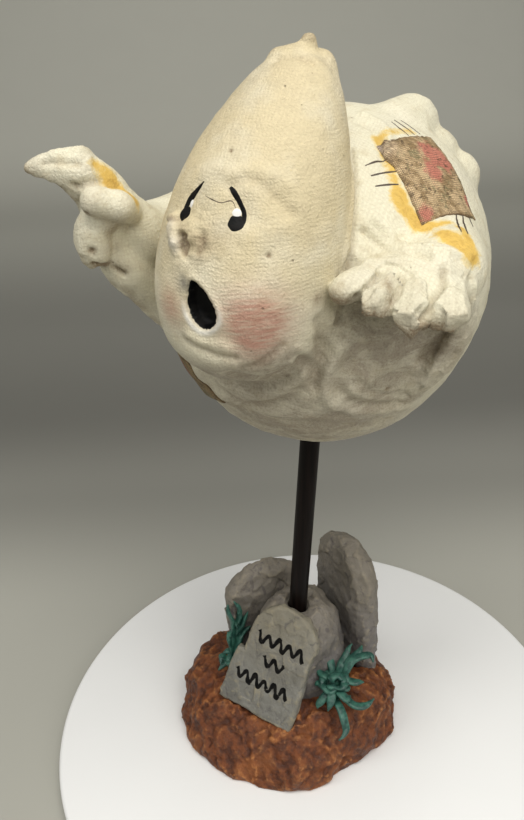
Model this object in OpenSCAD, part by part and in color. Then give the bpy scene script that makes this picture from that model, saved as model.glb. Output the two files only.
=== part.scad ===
// Ghost figure on a rod above a grave mound, in millimetres.
// The face and the front gravestone look towards -Y, and the mound stands on z = 0.

/* [Ghost body] */
// Width of the body from flank to flank
body_w = 116; // [100:1:130]
// Length of the body from chest to back
body_l = 124; // [108:1:140]
// Height of the body from belly to back
body_h = 118; // [104:1:132]
// Height of the belly above the table
ghost_z = 154; // [135:1:185]
// Thickness of the hollow ghost's wall
wall_t = 5; // [4:0.5:7]

/* [Head] */
// Width of the head at the cheeks
head_w = 58; // [50:1:66]
// Height of the head from chin to the top of the hood
head_h = 93; // [82:1:104]
// Height of the chin above the belly
chin_h = 45; // [38:1:52]
// How far the hood's top leans back behind the face
hood_lean = 24; // [16:1:30]
// Width of the small nub on top of the hood
nub_w = 5; // [4:0.5:7]
// Height of the nub that shows above the hood
nub_h = 4; // [3:0.5:6]
// Width of the nose lump
nose_w = 9; // [7:0.5:12]
// Width of the open mouth
mouth_w = 10.5; // [8:0.5:13]
// Height of the open mouth
mouth_h = 18; // [14:0.5:22]
// Depth of the mouth's hollow
mouth_depth = 2.2; // [1.5:0.1:3]
// Width of the carved eye strokes
eye_stroke_w = 2.2; // [1.6:0.1:3]

/* [Arms] */
// Thickness of the arms where they leave the body
arm_d = 34; // [29:1:39]
// Thickness of the left hand's fingers
finger_d = 8.4; // [7:0.1:9.5]
// Length of the left hand's fingers
finger_l = 21; // [18:1:24]
// Thickness of the pointing finger at its root
pointing_d = 13.4; // [11:0.1:15]
// Length of the pointing finger
pointing_l = 18; // [15:1:22]

/* [Rod] */
// Diameter of the rod
rod_d = 8; // [6:0.5:10]
// Lean of the rod away from upright
rod_lean = 4.6; // [0:0.2:7]
// How far the rod reaches into the ghost
rod_grip = 26; // [18:1:34]
// Gap around the rod in its holes
rod_gap = 0.1; // [0.05:0.05:0.3]

/* [Mound] */
// Width of the mound
mound_w = 104; // [92:1:120]
// Depth of the mound from front to back
mound_d = 92; // [82:1:106]
// Height of the mound
mound_h = 27; // [22:1:34]

/* [Gravestones] */
// Width of the front gravestone
front_stone_w = 37; // [30:1:42]
// Height of the front gravestone
front_stone_h = 53; // [47:1:59]
// Thickness of the front gravestone
front_stone_t = 5; // [4:0.5:7]
// Lean of the front gravestone away from upright
front_stone_lean = 24; // [18:1:30]
// Width of the left gravestone
left_stone_w = 38; // [32:1:44]
// Height of the left gravestone
left_stone_h = 57; // [50:1:64]
// Thickness of the left gravestone
left_stone_t = 9; // [7:0.5:11]
// Width of the right gravestone
right_stone_w = 38; // [32:1:44]
// Height of the right gravestone
right_stone_h = 68; // [60:1:76]
// Thickness of the right gravestone
right_stone_t = 12; // [9:0.5:14]

/* [Weeds and patches] */
// Length of the longest weed leaf
leaf_l = 24; // [18:1:30]
// Width of the weed leaves
leaf_w = 4.6; // [3.5:0.1:6]
// Thickness of the cloth patches
patch_t = 0.9; // [0.6:0.1:1.4]

/* [Hidden] */

// Overrun of the rock's pocket into the pockets of the stones
pocket_over = wall_t * 0.1;
// Direction that the rod leans towards, counted from +X
rod_heading = 29;
rod_run = tan(rod_lean);
rod_step = [rod_run * cos(rod_heading), rod_run * sin(rod_heading), 1];
// Where the rod's axis meets the table
rod_foot = [mound_w * 0.007, mound_d * 0.041, 0];
// Bottom end of the rod inside the rock
rod_low = mound_h * 0.95;
rod_high = ghost_z + rod_grip;

function on_rod(z) = rod_foot + rod_step * z;

// Middle of the ghost's body
body_mid = on_rod(ghost_z + body_h / 2) + [-body_w * 0.032, body_l * 0.1, 0];
body_half = [body_w, body_l, body_h] / 2;

white = "#e9e2d0";
stone_grey = "#80817c";

function lerp(a, b, t) = a + (b - a) * t;
function pick(rows, i) = rows[max(0, min(len(rows) - 1, i))];

// Smooth curve through the rows of a table, at t rows from its start
function curve(rows, t) =
    let (
        i = max(0, min(floor(t), len(rows) - 2)),
        u = t - i,
        a = pick(rows, i - 1),
        b = pick(rows, i),
        c = pick(rows, i + 1),
        d = pick(rows, i + 2)
    )
    0.5 * (2 * b + (c - a) * u + (2 * a - 5 * b + 4 * c - d) * u * u
        + (3 * b - a - 3 * c + d) * u * u * u);

function total(v, i = 0) = i >= len(v) ? 0 : v[i] + total(v, i + 1);
function unit(v) = v / norm(v);
function times(a, b) = [a.x * b.x, a.y * b.y, a.z * b.z];

// Closed skin over a stack of rings, from the low end to the high end
module skin(rings, low_tip, high_tip) {
    n = len(rings[0]);
    m = len(rings);
    points = concat([for (ring = rings) each ring], [low_tip, high_tip]);
    low = n * m;
    high = low + 1;
    sides = [
        for (i = [0 : m - 2], j = [0 : n - 1])
            let (a = i * n + j, b = i * n + (j + 1) % n, c = b + n, d = a + n)
            each [[a, d, c], [a, c, b]]
    ];
    low_cap = [for (j = [0 : n - 1]) [low, j, (j + 1) % n]];
    high_cap = [for (j = [0 : n - 1]) [high, (m - 1) * n + (j + 1) % n, (m - 1) * n + j]];
    polyhedron(points = points, faces = concat(sides, low_cap, high_cap), convexity = 6);
}

// Round limb through a table of places, each [x, y, z, radius]
module limb(rows, fn = 18) {
    for (i = [0 : len(rows) - 2])
        hull() {
            limb_ball(rows[i], fn);
            limb_ball(rows[i + 1], fn);
        }
}

module limb_ball(row, fn) {
    translate([row[0], row[1], row[2]])
        sphere(r = row[3], $fn = fn);
}

// Tapered finger along a bent line: rings of a given radius square to the line
finger_sides = 12;
finger_rings = 9;

function finger_line(root, bend, tip, t) =
    root * (1 - t) * (1 - t) + bend * 2 * t * (1 - t) + tip * t * t;

// Share of the root's radius along a finger, with knuckle and rounded tip
finger_shares = [0.9, 1.0, 0.98, 0.95, 0.97, 0.96, 0.93, 0.84, 0.56];

module finger(root, bend, tip, r, tip_share = 1) {
    up = unit(cross(tip - root, bend - root));
    rings = [
        for (i = [0 : finger_rings - 1])
            let (
                t = i / (finger_rings - 1),
                along = unit(finger_line(root, bend, tip, min(1, t + 1 / finger_rings))
                    - finger_line(root, bend, tip, max(0, t - 1 / finger_rings))),
                side = unit(cross(up, along)),
                mid = finger_line(root, bend, tip, t),
                ring_r = r * finger_shares[i] * lerp(1, tip_share, t)
            )
            [for (j = [0 : finger_sides - 1])
                let (a = 360 * j / finger_sides)
                mid + ring_r * (side * cos(a) + cross(along, side) * sin(a))]
    ];
    skin(rings, root, tip + unit(tip - bend) * r * tip_share * 0.22);
}

// Body: an egg with soft folds

body_lon_n = 40;
body_lat_n = 26;

function body_dir(lon, lat) = [cos(lat) * sin(lon), -cos(lat) * cos(lon), sin(lat)];

// Soft swellings: longitude from the front, latitude, spread in degrees, height share
body_swell_shares = [
    [-30, -35, 26, 0.02],
    [38, -38, 24, 0.025],
    [70, 20, 24, 0.02],
    [150, 35, 30, 0.03],
    [-150, 30, 32, 0.03],
    [100, -30, 20, -0.02],
    [10, -62, 18, 0.015],
    [20, 62, 26, -0.02]
];
// Centre of the folds under the chin, and their spacing, reach and height share
chin_fold_lon = -4;
chin_fold_lat = 4;
chin_fold_step = 17;
chin_fold_reach = 30;
chin_fold_share = 0.014;

function apart(a, b) = acos(max(-1, min(1, a * b)));

function chin_folds(d) =
    chin_fold_share * cos(360 * d / chin_fold_step)
        * exp(-pow((d - chin_fold_reach * 1.2) / (chin_fold_reach * 0.5), 2));

function body_swell(dir) =
    1 + total([for (s = body_swell_shares)
        s[3] * exp(-pow(apart(dir, body_dir(s[0], s[1])) / s[2], 2))])
    + chin_folds(apart(dir, body_dir(chin_fold_lon, chin_fold_lat)));

function body_at(lon, lat, off = 0) =
    let (dir = body_dir(lon, lat))
    body_mid + times(dir, body_half + [off, off, off]) * body_swell(dir);

module body_solid(off = 0, lon_n = body_lon_n, lat_n = body_lat_n) {
    rings = [
        for (i = [1 : lat_n - 1])
            [for (j = [0 : lon_n - 1]) body_at(360 * j / lon_n, -90 + 180 * i / lat_n, off)]
    ];
    skin(rings, body_at(0, -90, off), body_at(0, 90, off));
}

// Folds of the sheet on the chest, as longitude, latitude and radius in half folds
fold_d = wall_t;
fold_shares = [
    [
        [-16, -20, 0.7], [-11, -23, 0.9], [-6, -24, 1], [3, -22, 1],
        [12, -17, 1], [19, -9, 0.9], [25, 2, 0.7]
    ],
    [[16, -29, 0.6], [27, -23, 0.9], [35, -17, 0.9], [42, -9, 0.7], [45, 0, 0.5]]
];

module chest_folds() {
    for (fold = fold_shares)
        limb([for (f = fold) [each body_at(f[0], f[1], -fold_d * 0.12), fold_d / 2 * f[2]]], 10);
}

module body_form() {
    body_solid();
    chest_folds();
}

// Frame that stands on the rod's axis at a height and leans with it
module on_rod_axis(z) {
    translate(on_rod(z))
        rotate([0, 0, rod_heading])
            rotate([0, rod_lean, 0])
                children();
}

socket_r = rod_d / 2 + wall_t;

module socket_block() {
    on_rod_axis(ghost_z + wall_t * 0.45)
        cylinder(r = socket_r, h = rod_grip + wall_t * 0.5, $fn = 40);
}

module rod_hole() {
    on_rod_axis(rod_low)
        cylinder(
            r = rod_d / 2 + rod_gap,
            h = (rod_high - rod_low) / cos(rod_lean),
            $fn = 40
        );
}

module rod() {
    color("#1d1512")
        on_rod_axis(rod_low)
            cylinder(r = rod_d / 2, h = (rod_high - rod_low) / cos(rod_lean), $fn = 40);
}

module rod_socket() {
    color("#d8d0bd")
        difference() {
            socket_block();
            rod_hole();
        }
}

module body_shell() {
    color(white)
        difference() {
            body_form();
            body_solid(-wall_t, 20, 12);
            socket_block();
            rod_hole();
        }
}

// Head: a tall hood whose rings stack from chin to top

head_lon_n = 40;
head_ring_n = 30;
head_base = [body_mid.x - body_w * 0.017, body_mid.y - body_l * 0.434, ghost_z + chin_h];

// Height share, width share
head_profile_shares = [
    [0.00, 0.30],
    [0.04, 0.56],
    [0.10, 0.80],
    [0.18, 0.95],
    [0.28, 0.995],
    [0.40, 1.00],
    [0.50, 0.975],
    [0.60, 0.915],
    [0.70, 0.825],
    [0.79, 0.70],
    [0.87, 0.56],
    [0.94, 0.42],
    [0.985, 0.28]
];
// Face relief: longitude, height share, spread in degrees, spread share, height share
face_shares = [
    [-32, 0.34, 20, 0.11, 0.04],
    [30, 0.33, 24, 0.11, 0.06],
    [2, 0.12, 26, 0.07, 0.06],
    [-20, 0.60, 12, 0.05, -0.04],
    [15, 0.60, 12, 0.05, -0.04],
    [-3, 0.69, 32, 0.05, 0.03],
    [-14, 0.51, 11, 0.06, 0.05],
    [-3, 0.34, 16, 0.12, 0.04],
    [0, 0.225, 20, 0.03, -0.03]
];

function head_relief(lon, share) =
    1 + total([for (f = face_shares)
        f[4] * exp(-pow((((lon - f[0]) + 540) % 360 - 180) / f[2], 2)
            - pow((share - f[1]) / f[3], 2))]);

function head_mid(share) =
    head_base + [hood_lean * 0.4, hood_lean, 0] * pow(share, 2.8) + [0, 0, head_h * share];

function head_at(lon, share, width, off = 0) =
    head_mid(share) + (head_w / 2 * width + off) * head_relief(lon, share)
        * [sin(lon), -cos(lon), 0];

module head_solid(off = 0, lon_n = head_lon_n, ring_n = head_ring_n) {
    rows = [
        for (i = [0 : ring_n])
            curve(head_profile_shares, i / ring_n * (len(head_profile_shares) - 1))
    ];
    rings = [for (row = rows) [for (j = [0 : lon_n - 1]) head_at(360 * j / lon_n, row[0], row[1], off)]];
    skin(rings, head_mid(0) - [0, 0, head_h * 0.015], head_mid(1) + [0, 0, head_h * 0.006]);
}

// Width share of the hood at a height share, read from the profile
function head_width(share, i = 0) =
    i >= len(head_profile_shares) - 2 || head_profile_shares[i + 1][0] >= share
        ? let (a = head_profile_shares[i], b = head_profile_shares[i + 1])
            lerp(a[1], b[1], (share - a[0]) / (b[0] - a[0]))
        : head_width(share, i + 1);

function face_at(lon, share, off = 0) = head_at(lon, share, head_width(share), off);

// Each eye is one carved stroke that ends in a pupil: longitude, height share, radius share
right_eye_shares = [
    [-16, 0.675, 0.5],
    [-18, 0.655, 0.9],
    [-22, 0.63, 1.1],
    [-25, 0.605, 1.0],
    [-23, 0.595, 1.6],
    [-20.5, 0.59, 1.5]
];
left_eye_shares = [
    [6, 0.67, 0.5],
    [9.5, 0.655, 0.8],
    [13, 0.635, 1.0],
    [17, 0.61, 1.0],
    [18.5, 0.585, 1.3],
    [15, 0.58, 1.5]
];

module eye_stroke(rows) {
    limb([for (e = rows)
        let (r = eye_stroke_w / 2 * e[2])
        [each face_at(e[0], e[1], r * 0.45), r]], 10);
}

mouth_lon = -3;
mouth_share = 0.34;
mouth_tilt = -9;

module mouth_hollow() {
    translate(face_at(mouth_lon, mouth_share))
        rotate([0, mouth_tilt, mouth_lon])
            scale([mouth_w / 2, mouth_depth, mouth_h / 2])
                sphere(r = 1, $fn = 24);
}

// Lumps of the nose: longitude, height share, radius share, share that stands proud
nose_shares = [
    [-14, 0.535, 0.36, 0.10],
    [-15, 0.500, 0.42, 0.26],
    [-21, 0.495, 0.34, 0.04],
    [-9, 0.505, 0.34, 0.04]
];

module nose_lump() {
    hull()
        for (n = nose_shares)
            translate(face_at(n[0], n[1], nose_w * n[3]))
                sphere(r = nose_w * n[2], $fn = 14);
}

module nub_cone() {
    hull() {
        translate(head_mid(0.985) + [nub_w * 0.5, 0, 0])
            sphere(r = nub_w / 2, $fn = 14);
        translate(head_mid(1) + [nub_w * 0.3, 0, nub_h - nub_w * 0.3])
            sphere(r = nub_w * 0.3, $fn = 14);
    }
}

module head_shell() {
    color(white)
        difference() {
            head_solid();
            head_solid(-wall_t, 20, 14);
            body_form();
            nose_lump();
            nub_cone();
            mouth_hollow();
            eye_stroke(right_eye_shares);
            eye_stroke(left_eye_shares);
        }
}

module nose() {
    color(white) nose_lump();
}

module hood_nub() {
    color(white) nub_cone();
}

// Arms: limbs that leave the flanks and reach forward, as shares of the body's half sizes

function body_spot(shares) = body_mid + times([shares[0], shares[1], shares[2]], body_half);
function arm_rows(rows) = [for (s = rows) [each body_spot(s), arm_d / 2 * s[3]]];

right_arm_shares = [
    [-0.70, -0.40, 0.34, 0.80],
    [-0.79, -0.65, 0.32, 0.78],
    [-0.78, -0.83, 0.41, 0.66],
    [-0.80, -0.96, 0.59, 0.51],
    [-0.80, -1.08, 0.76, 0.44],
    [-0.82, -1.13, 0.82, 0.39]
];
right_web_shares = [
    [-0.78, -1.00, 0.58, 0.40],
    [-0.80, -1.04, 0.46, 0.32],
    [-0.76, -0.95, 0.27, 0.41],
    [-0.72, -0.82, 0.11, 0.41],
    [-0.66, -0.66, -0.13, 0.35]
];
left_arm_shares = [
    [0.60, 0.00, 0.31, 0.88],
    [0.81, -0.27, 0.26, 0.82],
    [0.90, -0.48, 0.29, 0.71],
    [0.86, -0.61, 0.29, 0.60],
    [0.93, -0.70, 0.27, 0.50],
    [0.72, -0.69, 0.31, 0.48]
];
left_web_shares = [
    [1.00, -0.53, 0.17, 0.31],
    [0.98, -0.49, 0.01, 0.32],
    [0.92, -0.48, -0.16, 0.29],
    [0.79, -0.49, -0.34, 0.26]
];

// Fingers: root as a share of the body's half sizes, then bend and tip from the root in finger lengths
left_thumb_shares = [[0.665, -0.687, 0.321], [-0.18, -0.57, 0.11], [-0.38, -1.00, -0.03]];
left_index_shares = [[0.755, -0.719, 0.286], [-0.04, -0.67, 0.18], [-0.11, -1.00, -0.06]];
left_middle_shares = [[0.850, -0.735, 0.289], [0.06, -0.57, 0.07], [0.17, -0.81, -0.26]];
left_little_shares = [[0.970, -0.687, 0.253], [0.16, -0.52, 0.10], [0.29, -0.71, -0.15]];
pointing_shares = [[-0.798, -1.106, 0.848], [-0.29, -0.33, 0.10], [-0.77, -0.61, 0.08]];
right_thumb_shares = [[-0.666, -1.074, 0.659], [0.01, -0.44, 0.21], [-0.07, -0.72, 0.24]];
folded_shares = [[-0.691, -1.090, 0.667], [-0.46, -0.39, -0.33], [-0.34, -0.12, -0.99]];

module hand_finger(shares, l, d, tip_share = 1) {
    root = body_spot(shares[0]);
    finger(root, root + shares[1] * l, root + shares[2] * l, d / 2, tip_share);
}

module left_thumb_solid() { hand_finger(left_thumb_shares, finger_l, finger_d * 1.22); }
module left_index_solid() { hand_finger(left_index_shares, finger_l, finger_d * 1.12); }
module left_middle_solid() { hand_finger(left_middle_shares, finger_l, finger_d * 1.28); }
module left_little_solid() { hand_finger(left_little_shares, finger_l, finger_d * 1.42); }
module pointing_finger_solid() { hand_finger(pointing_shares, pointing_l, pointing_d, 0.45); }
module right_thumb_solid() { hand_finger(right_thumb_shares, pointing_l, finger_d); }
module folded_fingers_solid() { hand_finger(folded_shares, pointing_l, finger_d * 1.4); }

module right_arm() {
    color(white)
        difference() {
            union() {
                limb(arm_rows(right_arm_shares));
                limb(arm_rows(right_web_shares), 14);
            }
            body_form();
            head_solid();
            pointing_finger_solid();
            right_thumb_solid();
            folded_fingers_solid();
        }
}

module left_arm() {
    color(white)
        difference() {
            union() {
                limb(arm_rows(left_arm_shares));
                limb(arm_rows(left_web_shares), 14);
            }
            body_form();
            head_solid();
            left_thumb_solid();
            left_index_solid();
            left_middle_solid();
            left_little_solid();
        }
}

module right_pointing_finger() { color(white) pointing_finger_solid(); }
module right_thumb() { color(white) difference() { right_thumb_solid(); pointing_finger_solid(); } }
module right_folded_fingers() {
    color(white)
        difference() {
            folded_fingers_solid();
            pointing_finger_solid();
            right_thumb_solid();
        }
}
module left_thumb() {
    color(white)
        difference() {
            left_thumb_solid();
            body_form();
            head_solid();
        }
}
module left_index_finger() {
    color(white)
        difference() {
            left_index_solid();
            left_thumb_solid();
            body_form();
            head_solid();
        }
}
module left_middle_finger() { color(white) difference() { left_middle_solid(); left_index_solid(); } }
module left_little_finger() { color(white) difference() { left_little_solid(); left_middle_solid(); } }

// Tail: the gathered hem at the back, each fold a short lump on the body's back
near_fold_shares = [
    [[0.30, 0.30, 0.75, 0.80], [0.33, 0.52, 0.81, 0.62], [0.33, 0.61, 0.81, 0.50]],
    [[0.44, 0.41, 0.60, 0.68], [0.47, 0.52, 0.65, 0.56], [0.49, 0.62, 0.63, 0.45]],
    [[0.57, 0.43, 0.45, 0.64], [0.61, 0.58, 0.50, 0.56], [0.62, 0.67, 0.48, 0.45]],
    [[0.58, 0.44, 0.28, 0.58], [0.64, 0.52, 0.32, 0.46], [0.66, 0.60, 0.28, 0.38]],
    [[0.33, 0.54, 0.76, 0.50], [0.46, 0.55, 0.64, 0.50], [0.60, 0.57, 0.48, 0.52], [0.65, 0.55, 0.32, 0.48]]
];
far_fold_shares = [
    [[0.08, 0.48, 0.70, 0.62], [0.06, 0.65, 0.74, 0.52], [0.04, 0.74, 0.71, 0.42]],
    [[-0.14, 0.62, 0.62, 0.60], [-0.18, 0.74, 0.66, 0.50], [-0.22, 0.82, 0.63, 0.38]],
    [[-0.34, 0.66, 0.47, 0.56], [-0.40, 0.76, 0.47, 0.46], [-0.44, 0.82, 0.43, 0.36]],
    [[0.05, 0.60, 0.71, 0.54], [-0.14, 0.68, 0.64, 0.54], [-0.36, 0.72, 0.48, 0.50]]
];

module tail_folds(folds) {
    for (fold = folds)
        limb(arm_rows(fold), 14);
}

module tail_near_folds() {
    color(white)
        difference() {
            tail_folds(near_fold_shares);
            body_form();
        }
}

module tail_far_folds() {
    color(white)
        difference() {
            tail_folds(far_fold_shares);
            tail_folds(near_fold_shares);
            body_form();
        }
}

// Patches: four-cornered pieces of cloth that follow the body, corners as longitude and latitude
patch_n = 8;
back_patch_corners = [[60, 59], [106, 51], [88, 24], [59, 30]];
flank_patch_corners = [[-66, -14], [-38, -9], [-15, -31], [-45, -44]];

function patch_spot(c, u, v) = lerp(lerp(c[0], c[1], u), lerp(c[3], c[2], u), v);

module patch_solid(corners) {
    n = patch_n + 1;
    spots = [
        for (i = [0 : patch_n], j = [0 : patch_n])
            patch_spot(corners, i / patch_n, j / patch_n)
    ];
    under = [for (p = spots) body_at(p[0], p[1], -patch_t * 0.6)];
    over = [for (p = spots) body_at(p[0], p[1], patch_t)];
    rim = concat(
        [for (i = [0 : patch_n - 1]) i * n],
        [for (j = [0 : patch_n - 1]) patch_n * n + j],
        [for (i = [patch_n : -1 : 1]) i * n + patch_n],
        [for (j = [patch_n : -1 : 1]) j]
    );
    base = n * n;
    cells = [for (i = [0 : patch_n - 1], j = [0 : patch_n - 1]) i * n + j];
    outer = [
        for (a = cells)
            let (b = a + base)
            each [[b, b + n, b + n + 1], [b, b + n + 1, b + 1]]
    ];
    inner = [for (a = cells) each [[a, a + n + 1, a + n], [a, a + 1, a + n + 1]]];
    edge = [
        for (k = [0 : len(rim) - 1])
            let (a = rim[k], b = rim[(k + 1) % len(rim)])
            each [[a, b, b + base], [a, b + base, a + base]]
    ];
    polyhedron(points = concat(under, over), faces = concat(outer, inner, edge), convexity = 4);
}

module back_patch() {
    color("#8a7558")
        difference() {
            patch_solid(back_patch_corners);
            body_form();
            limb(arm_rows(left_arm_shares));
        }
}

module flank_patch() {
    color("#7a5a34")
        difference() {
            patch_solid(flank_patch_corners);
            body_form();
            limb(arm_rows(right_arm_shares));
            limb(arm_rows(right_web_shares), 14);
        }
}

// Mound: rough rings of earth

mound_lon_n = 48;
// Outline share every 30 degrees, counted from +X
mound_outline_shares = [0.91, 1.02, 1.06, 1.02, 0.97, 0.955, 0.96, 0.97, 0.985, 0.92, 0.93, 0.82];
// How much further in the top edge lies at the same headings
mound_slope_shares = [0.04, 0.02, 0.00, 0.00, 0.02, 0.02, 0.04, 0.10, 0.26, 0.42, 0.34, 0.14];
// Height share, outline share, share of the slope
mound_profile_shares = [
    [0.00, 0.98, 0.00],
    [0.12, 1.00, 0.06],
    [0.32, 1.00, 0.24],
    [0.52, 0.99, 0.46],
    [0.70, 0.96, 0.68],
    [0.85, 0.90, 0.86],
    [0.94, 0.78, 1.00],
    [0.99, 0.58, 0.80],
    [1.00, 0.30, 0.40]
];
clod_share = 0.02;

function around(rows, lon) =
    curve(concat([rows[11]], rows, [rows[0], rows[1]]), lon / 30 + 1);

function clods(lon, i) =
    1 + clod_share * (sin(7 * lon + 70 * i) + 0.8 * sin(13 * lon - 95 * i) + 0.6 * cos(22 * lon + 140 * i));

function mound_at(lon, i) =
    let (
        row = mound_profile_shares[i],
        reach = around(mound_outline_shares, lon)
            * (row[1] - around(mound_slope_shares, lon) * row[2]) * clods(lon, i)
    )
    [
        mound_w / 2 * reach * cos(lon),
        mound_d / 2 * reach * sin(lon),
        mound_h * row[0] * (i == 0 ? 1 : clods(lon + 47, i + 3))
    ];

module mound_solid() {
    rings = [
        for (i = [0 : len(mound_profile_shares) - 1])
            [for (j = [0 : mound_lon_n - 1]) mound_at(360 * j / mound_lon_n, i)]
    ];
    skin(rings, [0, 0, 0], [0, 0, mound_h]);
}

// Gravestone slab: round-topped outline with soft edges, standing on its foot at the origin
slab_arc_n = 16;
slab_edge_share = 0.3;

function slab_outline(w, h, inset) =
    let (r = w / 2 - inset, spring = h - w / 2)
    concat(
        [[r, inset], [r, spring * 0.5]],
        [for (k = [0 : slab_arc_n]) let (a = 180 * k / slab_arc_n) [r * cos(a), spring + r * sin(a)]],
        [[-r, spring * 0.5], [-r, inset]]
    );

module slab(w, h, t) {
    e = t * slab_edge_share;
    rings = [
        for (s = [[0, e], [e, 0], [t - e, 0], [t, e]])
            [for (p = slab_outline(w, h, s[1])) [-p.x, s[0], p.y]]
    ];
    skin(rings, [0, 0, h / 2], [0, t, h / 2]);
}

// The front stone has a round top set off to one side over two uneven shoulders
right_shoulder_share = 0.72;
left_shoulder_share = 0.50;
crown_share = 0.86;
crown_shift_share = 0.19;
stone_taper_share = 0.88;
stone_middle_share = 0.38;

function crowned_outline(w, h, inset) =
    let (
        r = w / 2 - inset,
        c = w / 2 * crown_share - inset,
        mid = w / 2 * crown_shift_share,
        spring = h * right_shoulder_share - inset,
        left = h * left_shoulder_share - inset,
        rise = h - inset - spring
    )
    concat(
        [[r, inset], [r * 0.96, left * 0.5], [r * stone_taper_share, left], [c - mid, left]],
        [
            for (k = [0 : slab_arc_n])
                let (a = 180 * k / slab_arc_n)
                [c * cos(a) - mid, spring + rise * sin(a)]
        ],
        [[-r, spring * 0.96], [-r, spring * 0.5], [-r, inset]]
    );

module crowned_slab(w, h, t) {
    e = t * slab_edge_share * 0.6;
    rings = [
        for (s = [[0, e], [e, 0], [t - e, 0], [t, e]])
            [for (p = crowned_outline(w, h, s[1])) [-p.x, s[0], p.y]]
    ];
    middle = h * stone_middle_share;
    skin(rings, [0, 0, middle], [0, t, middle]);
}

module stand(at, yaw, lean, roll) {
    translate(at)
        rotate([0, 0, yaw])
            rotate([-lean, 0, 0])
                rotate([0, roll, 0])
                    children();
}

front_stone_at = [-mound_w * 0.0375, -mound_d * 0.262, mound_h * 0.85];
left_stone_at = [-mound_w * 0.106, mound_d * 0.10, mound_h * 0.8];
right_stone_at = [mound_w * 0.146, mound_d * 0.285, mound_h * 0.76];
left_stone_yaw = 44;
right_stone_yaw = -31;
front_stone_roll = 8;

module front_slab() {
    stand(front_stone_at, 0, front_stone_lean, front_stone_roll)
        crowned_slab(front_stone_w, front_stone_h, front_stone_t);
}

// Block of everything in front of the front stone's back face
module ahead_of_front_slab(over) {
    stand(front_stone_at, 0, front_stone_lean, 0)
        translate([-mound_w / 2, front_stone_t - mound_d - over, -mound_h])
            cube([mound_w, mound_d, mound_h + front_stone_h * 1.5]);
}

module left_slab() {
    stand(left_stone_at, left_stone_yaw, 0, 0)
        slab(left_stone_w, left_stone_h, left_stone_t);
}

module right_slab() {
    stand(right_stone_at, right_stone_yaw, 0, 0)
        slab(right_stone_w, right_stone_h, right_stone_t);
}

// Rock between the gravestones: a rough tapering lump that grips the rod
rock_w = mound_w * 0.44;
rock_h = mound_h * 1.62;
rock_low = mound_h * 0.84;
rock_lon_n = 20;
// Height share, width share, shift share towards the back
rock_profile_shares = [
    [0.00, 1.00, 0.10],
    [0.20, 0.98, 0.10],
    [0.45, 0.90, 0.08],
    [0.70, 0.80, 0.06],
    [0.90, 0.66, 0.04],
    [1.00, 0.46, 0.02]
];

module rock_solid() {
    rings = [
        for (i = [0 : len(rock_profile_shares) - 1])
            let (
                row = rock_profile_shares[i],
                mid = on_rod(rock_low + rock_h * row[0]) + [0, rock_w * row[2], 0]
            )
            [for (j = [0 : rock_lon_n - 1])
                let (a = 360 * j / rock_lon_n, r = rock_w / 2 * row[1] * clods(a * 2, i) * clods(a, i + 5))
                [mid.x + r * cos(a), mid.y + r * sin(a), mid.z]]
    ];
    skin(rings, on_rod(rock_low), on_rod(rock_low + rock_h * 1.01));
}

// Block of everything behind the front face of a standing slab
module behind_slab(at, yaw, over) {
    stand(at, yaw, 0, 0)
        translate([-mound_w, over, -mound_h])
            cube([mound_w * 2, mound_w, mound_h + right_stone_h * 2]);
}

// The rock fills the wedge between the three stones
module rock_form(over = 0) {
    difference() {
        rock_solid();
        ahead_of_front_slab(over);
        behind_slab(left_stone_at, left_stone_yaw, over);
        behind_slab(right_stone_at, right_stone_yaw, over);
    }
}

module mound() {
    color("#7a4a2c")
        difference() {
            mound_solid();
            front_slab();
            left_slab();
            right_slab();
            rock_form(pocket_over);
        }
}

module centre_rock() {
    color(stone_grey)
        difference() {
            rock_form();
            rod_hole();
        }
}

module front_gravestone() {
    color("#8f9189")
        difference() {
            front_slab();
            rod_hole();
        }
}
module left_gravestone() { color(stone_grey) left_slab(); }
module right_gravestone() {
    color(stone_grey)
        difference() {
            right_slab();
            left_slab();
        }
}

// Weeds: tufts of curling leaves that grow from the mound

// Each leaf's tip from the root of its tuft, in leaf lengths
left_leaf_shares = [
    [0.02, 0.10, 1.50], [0.20, 0.26, 1.20], [0.22, 0.24, 0.84], [0.24, 0.14, 0.44],
    [-0.18, -0.28, 0.21], [-0.14, -0.06, 0.90], [-0.10, -0.02, 1.36]
];
right_leaf_shares = [
    [-0.34, 0.48, 0.90], [0.06, 0.64, 0.84], [0.26, 0.62, 0.82], [0.55, 0.48, 0.74],
    [0.50, 0.20, 0.54], [0.74, 0.09, 0.30], [0.37, -0.68, -0.04], [0.34, -0.18, 0.46],
    [0.08, -0.48, 0.24], [-0.16, -0.42, 0.20], [-0.26, -0.10, 0.44]
];
left_weed_at = [-mound_w * 0.206, -mound_d * 0.085, mound_h * 0.98];
right_weed_at = [mound_w * 0.258, -mound_d * 0.05, mound_h * 0.96];

leaf_steps = 3;
// Each length of a leaf starts inside the one before it: how far back, in leaves, and how slim there
leaf_lap_share = 0.07;
leaf_neck_share = 0.8;
// Section across a leaf: side share, height share
leaf_section_shares = [[1, 0], [0.5, 0.42], [-0.5, 0.42], [-1, 0], [0, -0.32]];

function leaf_ring(root, bend, tip, side, t, width_share) =
    let (
        along = unit(lerp(bend - root, tip - bend, t)),
        up = cross(side, along),
        r = leaf_w / 2 * (0.75 + 0.9 * t - 1.35 * t * t) * width_share
    )
    [for (p = leaf_section_shares) finger_line(root, bend, tip, t) + r * (side * p.x + up * p.y)];

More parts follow.
